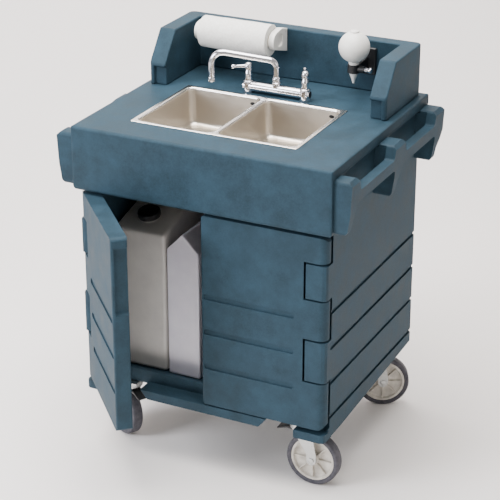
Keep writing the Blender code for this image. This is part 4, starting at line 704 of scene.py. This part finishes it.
low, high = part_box("soap_plunger")
place = (low.x, (low.y + high.y) / 2, (low.z + high.z) / 2)
push = [(0, 0.034), (0.0050, 0.0337), (0.0070, 0.0325), (0.0078, 0.0305), (0.0078, 0.0265), (0.0068, 0.0248),
        (0.0058, 0.0240), (0.0058, 0.0), (0, 0)]
dress(skin("soap_plunger_chrome", [turned(push, place, (1, 0, 0), 48)]), ["soap_plunger"], CHROME)
trimmed("soap_bracket", "soap_bracket_moulding", BLACK, 0.0012, 32, 2)

# --- Tanks -------------------------------------------------------------------------------------------------
# The used water goes into a grey blow-moulded can and the clean water comes from a natural white one. Both
# have thick soft edges, a shallow panel in each side and a screw cap, and lift out through the left door.


def blown(name, light, dark, gloss):
    """Blow-moulded polyethylene: waxy, cloudy and a little uneven, softly lit from within."""
    made, tree, shader = start(name, light, gloss, IOR=1.51, Subsurface_Weight=0.08)
    shader.inputs["Subsurface Radius"].default_value = (0.008, 0.007, 0.007)
    place = step(tree, "ShaderNodeTexCoord", {})
    cloud = step(tree, "ShaderNodeTexNoise", {}, Vector=place.outputs["Object"], Scale=1 / 0.050, Detail=4.0)
    tone = step(tree, "ShaderNodeValToRGB", {}, Fac=cloud.outputs["Fac"])
    tone.color_ramp.elements[0].position = 0.3
    tone.color_ramp.elements[0].color = srgb(dark)
    tone.color_ramp.elements[1].position = 0.7
    tone.color_ramp.elements[1].color = srgb(light)
    tree.links.new(tone.outputs["Color"], shader.inputs["Base Color"])
    skin_noise = step(tree, "ShaderNodeTexNoise", {}, Vector=place.outputs["Object"], Scale=1 / 0.006,
                      Detail=3.0)
    bump = step(tree, "ShaderNodeBump", {}, Height=skin_noise.outputs["Fac"], Strength=0.15, Distance=0.0005)
    tree.links.new(bump.outputs["Normal"], shader.inputs["Normal"])
    return made


GREY_CAN = blown("grey_polyethylene_can", "dad7d2", "cecbc7", 0.42)
WHITE_CAN = blown("natural_polyethylene_can", "f2effa", "e8e5f2", 0.38)
trimmed("waste_tank", "waste_tank_can", GREY_CAN, 0.002, 32, 2)
trimmed("fresh_tank", "fresh_tank_can", WHITE_CAN, 0.002, 32, 2)


def screw_cap(node, teeth, finish, name):
    """A knurled cap with a sunk top, on the node's own joint axis."""
    joint = next(j for j in frame["joints"] if j["child"] == frame["nodes"][node]["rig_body"])
    axis = np.array(joint["axis"])
    centre, size = middle(node)
    r = size[0] / 2
    points = np.array([v.co for v in frame["nodes"][node].data.vertices])
    reach = (points - centre) @ axis
    top, bottom = reach.max(), reach.min()
    profile = [(0, top - 0.003), (r * 0.62, top - 0.003), (r * 0.70, top - 0.0005), (r * 0.78, top),
               (r - 0.0022, top),
               (r - 0.0006, top - 0.0012), (r, top - 0.003), (r, bottom + 0.001), (r - 0.001, bottom),
               (0, bottom)]
    return dress(skin(name, [knurled(profile, centre, axis, teeth, 0.0011)]), [node], finish)


screw_cap("waste_tank_cap", 36, BLACK, "waste_tank_cap_knurled")
screw_cap("fresh_tank_cap", 30, WHITE, "fresh_tank_cap_knurled")

# --- Water works -------------------------------------------------------------------------------------------
# Behind the right door stand the electric heater, in white enamelled steel, and the diaphragm pump. Clear
# vinyl hoses run from the can to the pump and up to the faucet, and an inlet in the rear takes the power.

low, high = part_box("water_heater")
r, h = (high.x - low.x) / 2, high.z - low.z
place = ((low.x + high.x) / 2, (low.y + high.y) / 2, low.z)
can = [(0, h), (r * 0.5, h - 0.004), (r * 0.80, h - 0.011), (r * 0.93, h - 0.020), (r * 0.985, h - 0.030),
       (r, h - 0.040),
       (r, h - 0.060), (r - 0.0012, h - 0.062), (r - 0.0012, 0.052), (r, 0.050), (r, 0.016),
       (r - 0.006, 0.010), (r - 0.010, 0.008),
       (r - 0.010, 0), (0, 0)]
dress(skin("water_heater_can", [turned(can, place, up, 96)]), ["water_heater"], WHITE)
trimmed("water_pump", "water_pump_body", BLACK, 0.0015, 32, 2)
trimmed("power_inlet", "power_inlet_moulding", BLACK, 0.0006, 32, 2)


def vinyl():
    """Clear vinyl hose, milky where it is thick, glossy outside."""
    made, tree, shader = start("clear_vinyl_hose", "cfd2cd", 0.22, IOR=1.53, Transmission_Weight=0.35)
    place = step(tree, "ShaderNodeTexCoord", {})
    cloud = step(tree, "ShaderNodeTexNoise", {}, Vector=place.outputs["Object"], Scale=1 / 0.015, Detail=2.0)
    tone = step(tree, "ShaderNodeValToRGB", {}, Fac=cloud.outputs["Fac"])
    tone.color_ramp.elements[0].color = srgb("bfc3bf")
    tone.color_ramp.elements[1].color = srgb("dadcd8")
    tree.links.new(tone.outputs["Color"], shader.inputs["Base Color"])
    return made


VINYL = vinyl()
for hose in ("drain_hose", "pickup_hose", "cold_supply_hose", "hot_supply_hose"):
    trimmed(hose, hose + "_run", VINYL, 0.0, 60)

# --- Casters -----------------------------------------------------------------------------------------------
# Four swivel casters are bolted up into the base: a pressed and zinc-plated plate and fork, a ribbed plastic
# hub, and a grey rubber tyre. The two at the front have a brake pedal.


def rubber():
    """Grey non-marking rubber: dull, with a little dust in its fine pores."""
    made, tree, shader = start("grey_rubber_tyre", "43434c", 0.68)
    place = step(tree, "ShaderNodeTexCoord", {})
    dust = step(tree, "ShaderNodeTexNoise", {}, Vector=place.outputs["Object"], Scale=1 / 0.012, Detail=5.0)
    tone = step(tree, "ShaderNodeValToRGB", {}, Fac=dust.outputs["Fac"])
    tone.color_ramp.elements[0].position = 0.35
    tone.color_ramp.elements[0].color = srgb("393942")
    tone.color_ramp.elements[1].position = 0.75
    tone.color_ramp.elements[1].color = srgb("545258")
    tree.links.new(tone.outputs["Color"], shader.inputs["Base Color"])
    bump = step(tree, "ShaderNodeBump", {}, Height=dust.outputs["Fac"], Strength=0.2, Distance=0.0003)
    tree.links.new(bump.outputs["Normal"], shader.inputs["Normal"])
    return made


def hub_nylon():
    """Pale grey-beige nylon, moulded, slightly grimy."""
    made, tree, shader = start("grey_beige_nylon", "cdc8be", 0.45, IOR=1.53)
    place = step(tree, "ShaderNodeTexCoord", {})
    grime = step(tree, "ShaderNodeTexNoise", {}, Vector=place.outputs["Object"], Scale=1 / 0.018, Detail=5.0)
    tone = step(tree, "ShaderNodeValToRGB", {}, Fac=grime.outputs["Fac"])
    tone.color_ramp.elements[0].position = 0.32
    tone.color_ramp.elements[0].color = srgb("b0aaa0")
    tone.color_ramp.elements[1].position = 0.70
    tone.color_ramp.elements[1].color = srgb("dad5cb")
    tree.links.new(tone.outputs["Color"], shader.inputs["Base Color"])
    return made


RUBBER, NYLON = rubber(), hub_nylon()
WHEEL_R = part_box("caster_tyre_front_left")[1].z / 2
HALF_WIDTH = 0.016
TYRE = 0.013


def bar_between(a, b, width, depth, side):
    """A slim rounded bar from point a to b, its width along side: four rings of eight points."""
    a, b, side = (np.asarray(p, float) for p in (a, b, side))
    along = (b - a) / np.linalg.norm(b - a)
    across = np.cross(along, side)
    t = np.linspace(0, 2 * np.pi, 8, endpoint=False) + np.pi / 8
    shape = (np.clip(np.cos(t) * 1.3, -1, 1)[:, None] * across * depth / 2
             + np.clip(np.sin(t) * 1.3, -1, 1)[:, None] * side * width / 2)
    return np.array([a + 0 * shape, a + shape, b + shape, b + 0 * shape])


for corner in ("front_left", "front_right", "rear_left", "rear_right"):
    joint = next(j for j in frame["joints"] if j["name"] == f"wheel_turn_{corner}")
    axle, centre = np.array(joint["axis"]), np.array(joint["pos_m"])
    rim = WHEEL_R - TYRE
    tread = [(rim, HALF_WIDTH - 0.003)]
    tread += [
        (WHEEL_R - 0.006 + 0.006 * math.cos(a), HALF_WIDTH - 0.006 + 0.006 * math.sin(a))
        for a in np.radians([90, 70, 50, 30, 12])
    ]
    tread += [(WHEEL_R, 0.003), (WHEEL_R, -0.003)]
    tread += [
        (WHEEL_R - 0.006 + 0.006 * math.cos(a), -HALF_WIDTH + 0.006 - 0.006 * math.sin(a))
        for a in np.radians([12, 30, 50, 70, 90])
    ]
    tread += [(rim, -HALF_WIDTH + 0.003), (rim, HALF_WIDTH - 0.003)]
    dress(skin(f"caster_tyre_{corner}_rubber", [turned(tread, centre, axle, 96)]), [f"caster_tyre_{corner}"],
          RUBBER)
    edge = rim - 0.0004
    hub = [
        (edge, HALF_WIDTH - 0.0035), (edge - 0.002, HALF_WIDTH - 0.003), (edge - 0.006, HALF_WIDTH - 0.0035),
        (edge - 0.009, 0.006), (edge - 0.014, 0.004), (0.022, 0.004), (0.0185, 0.006),
        (0.0165, HALF_WIDTH - 0.002),
        (0.0150, HALF_WIDTH - 0.0004), (0.0066, HALF_WIDTH - 0.0004), (0.0066, 0),
    ]
    hub += [(r, -h) for r, h in reversed(hub[:-1])] + [hub[0]]
    grids = [turned(hub, centre, axle, 96)]
    u, v, w = frame_of(axle)
    for k in range(8):
        spoke = u * math.cos(2 * math.pi * k / 8) + v * math.sin(2 * math.pi * k / 8)
        for sign in (1, -1):
            lift = w * sign * 0.0062
            grids.append(bar_between(centre + spoke * 0.016 + lift, centre + spoke * (edge - 0.006) + lift,
                                     0.0085, 0.0034, w))
    dress(skin(f"caster_hub_{corner}_nylon", grids, 30), [f"caster_hub_{corner}"], NYLON)
    trimmed(f"caster_plate_{corner}", f"caster_plate_{corner}_pressed", ZINC, 0.0012, 32, 2)
    trimmed(f"caster_fork_{corner}", f"caster_fork_{corner}_pressed", ZINC, 0.0008, 32, 2)
    nut = []
    for sign in (1, -1):
        place = centre + w * sign * 0.0222
        head = [(0, 0.0035), (0.0060, 0.0035), (0.0085, 0.0026), (0.0088, 0.0), (0, 0.0)]
        nut.append(turned(head, place, w * sign, 6))
    nuts = skin(f"caster_axle_nuts_{corner}", nut, 25)
    nuts.data.materials.append(ZINC)
    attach(nuts, f"swivel_{corner}")
    if corner.startswith("front"):
        trimmed(f"caster_brake_{corner}", f"caster_brake_{corner}_pedal", BLACK, 0.0012, 32,
                2)

# --- Studio ------------------------------------------------------------------------------------------------
# A seamless sweep of pale warm paper under soft boxes: a wide one above, a big one at the front left and a
# weak one at the right.


def sweep_paper():
    """Matt background paper, warm pale grey, and clear from behind so that the cart's rear can be seen."""
    made, tree, shader = start("background_paper", "faf5f2", 0.9)
    place = step(tree, "ShaderNodeTexCoord", {})
    tooth = step(tree, "ShaderNodeTexNoise", {}, Vector=place.outputs["Object"], Scale=1 / 0.5, Detail=2.0)
    tone = step(tree, "ShaderNodeValToRGB", {}, Fac=tooth.outputs["Fac"])
    tone.color_ramp.elements[0].color = srgb("f8f3f0")
    tone.color_ramp.elements[1].color = srgb("fcf7f4")
    tree.links.new(tone.outputs["Color"], shader.inputs["Base Color"])
    side = step(tree, "ShaderNodeNewGeometry", {})
    clear = step(tree, "ShaderNodeBsdfTransparent", {})
    both = step(tree, "ShaderNodeMixShader", {}, _0=side.outputs["Backfacing"], _1=shader.outputs["BSDF"],
                _2=clear.outputs["BSDF"])
    tree.links.new(both.outputs["Shader"], tree.nodes["Material Output"].inputs["Surface"])
    return made


FLOOR_FRONT, WALL_BACK, BEND, WALL_TOP, HALF_SPAN = -5.0, 2.6, 1.2, 5.0, 6.0
turns = np.linspace(0, np.pi / 2, 16)
profile = [(FLOOR_FRONT, 0.0)]
profile += [(WALL_BACK - BEND + BEND * math.sin(a), BEND - BEND * math.cos(a)) for a in turns]
profile += [(WALL_BACK, WALL_TOP)]
VIEW_TURN, VIEW_TILT = 26.259, 23.999
view_turn = math.radians(VIEW_TURN)
ends = []
for x in (-HALF_SPAN, HALF_SPAN):
    ends += [(x * math.cos(view_turn) - y * math.sin(view_turn),
              x * math.sin(view_turn) + y * math.cos(view_turn), z)
             for y, z in profile]
count = len(profile)
mesh = bpy.data.meshes.new("paper_sweep")
mesh.from_pydata(ends, [], [(i, i + count, i + count + 1, i + 1) for i in range(count - 1)])
mesh.shade_smooth()
sweep = bpy.data.objects.new("paper_sweep", mesh)
bpy.context.scene.collection.objects.link(sweep)
mesh.materials.append(sweep_paper())


def soft_box(name, place, aim, size, power, tint):
    """A square area light that faces its aim."""
    data = bpy.data.lights.new(name, "AREA")
    data.shape = "RECTANGLE"
    data.size, data.size_y = size
    data.energy = power
    data.color = srgb(tint)[:3]
    box = bpy.data.objects.new(name, data)
    box.location = place
    box.rotation_euler = (Vector(aim) - Vector(place)).to_track_quat("-Z", "Y").to_euler()
    bpy.context.scene.collection.objects.link(box)


soft_box("overhead_box", (-0.3, -0.2, 3.6), (0, 0, 0.6), (3.0, 2.6), 300, "fffdfb")
soft_box("front_left_box", (-2.6, -3.2, 2.2), (0, 0, 0.5), (1.8, 1.8), 200, "f4f7ff")
soft_box("right_box", (3.4, -1.2, 1.8), (0, 0, 0.5), (1.6, 1.6), 14, "fff6ec")

world = bpy.data.worlds.new("studio_air")
world.use_nodes = True
world.node_tree.nodes["Background"].inputs["Color"].default_value = srgb("e9e6e3")
world.node_tree.nodes["Background"].inputs["Strength"].default_value = 0.58
bpy.context.scene.world = world

# The camera stands off the front right corner, above the counter, with a long lens.
apron_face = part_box("counter_deck")[0].y
lens = bpy.data.cameras.new("view")
lens.sensor_width = 36.0
lens.lens = 126.0
camera = bpy.data.objects.new("view", lens)
camera.location = (1.9294, apron_face - 3.6108, 2.4764)
camera.rotation_euler = Euler((math.radians(90 - VIEW_TILT), 0, view_turn))
bpy.context.scene.collection.objects.link(camera)
bpy.context.scene.camera = camera
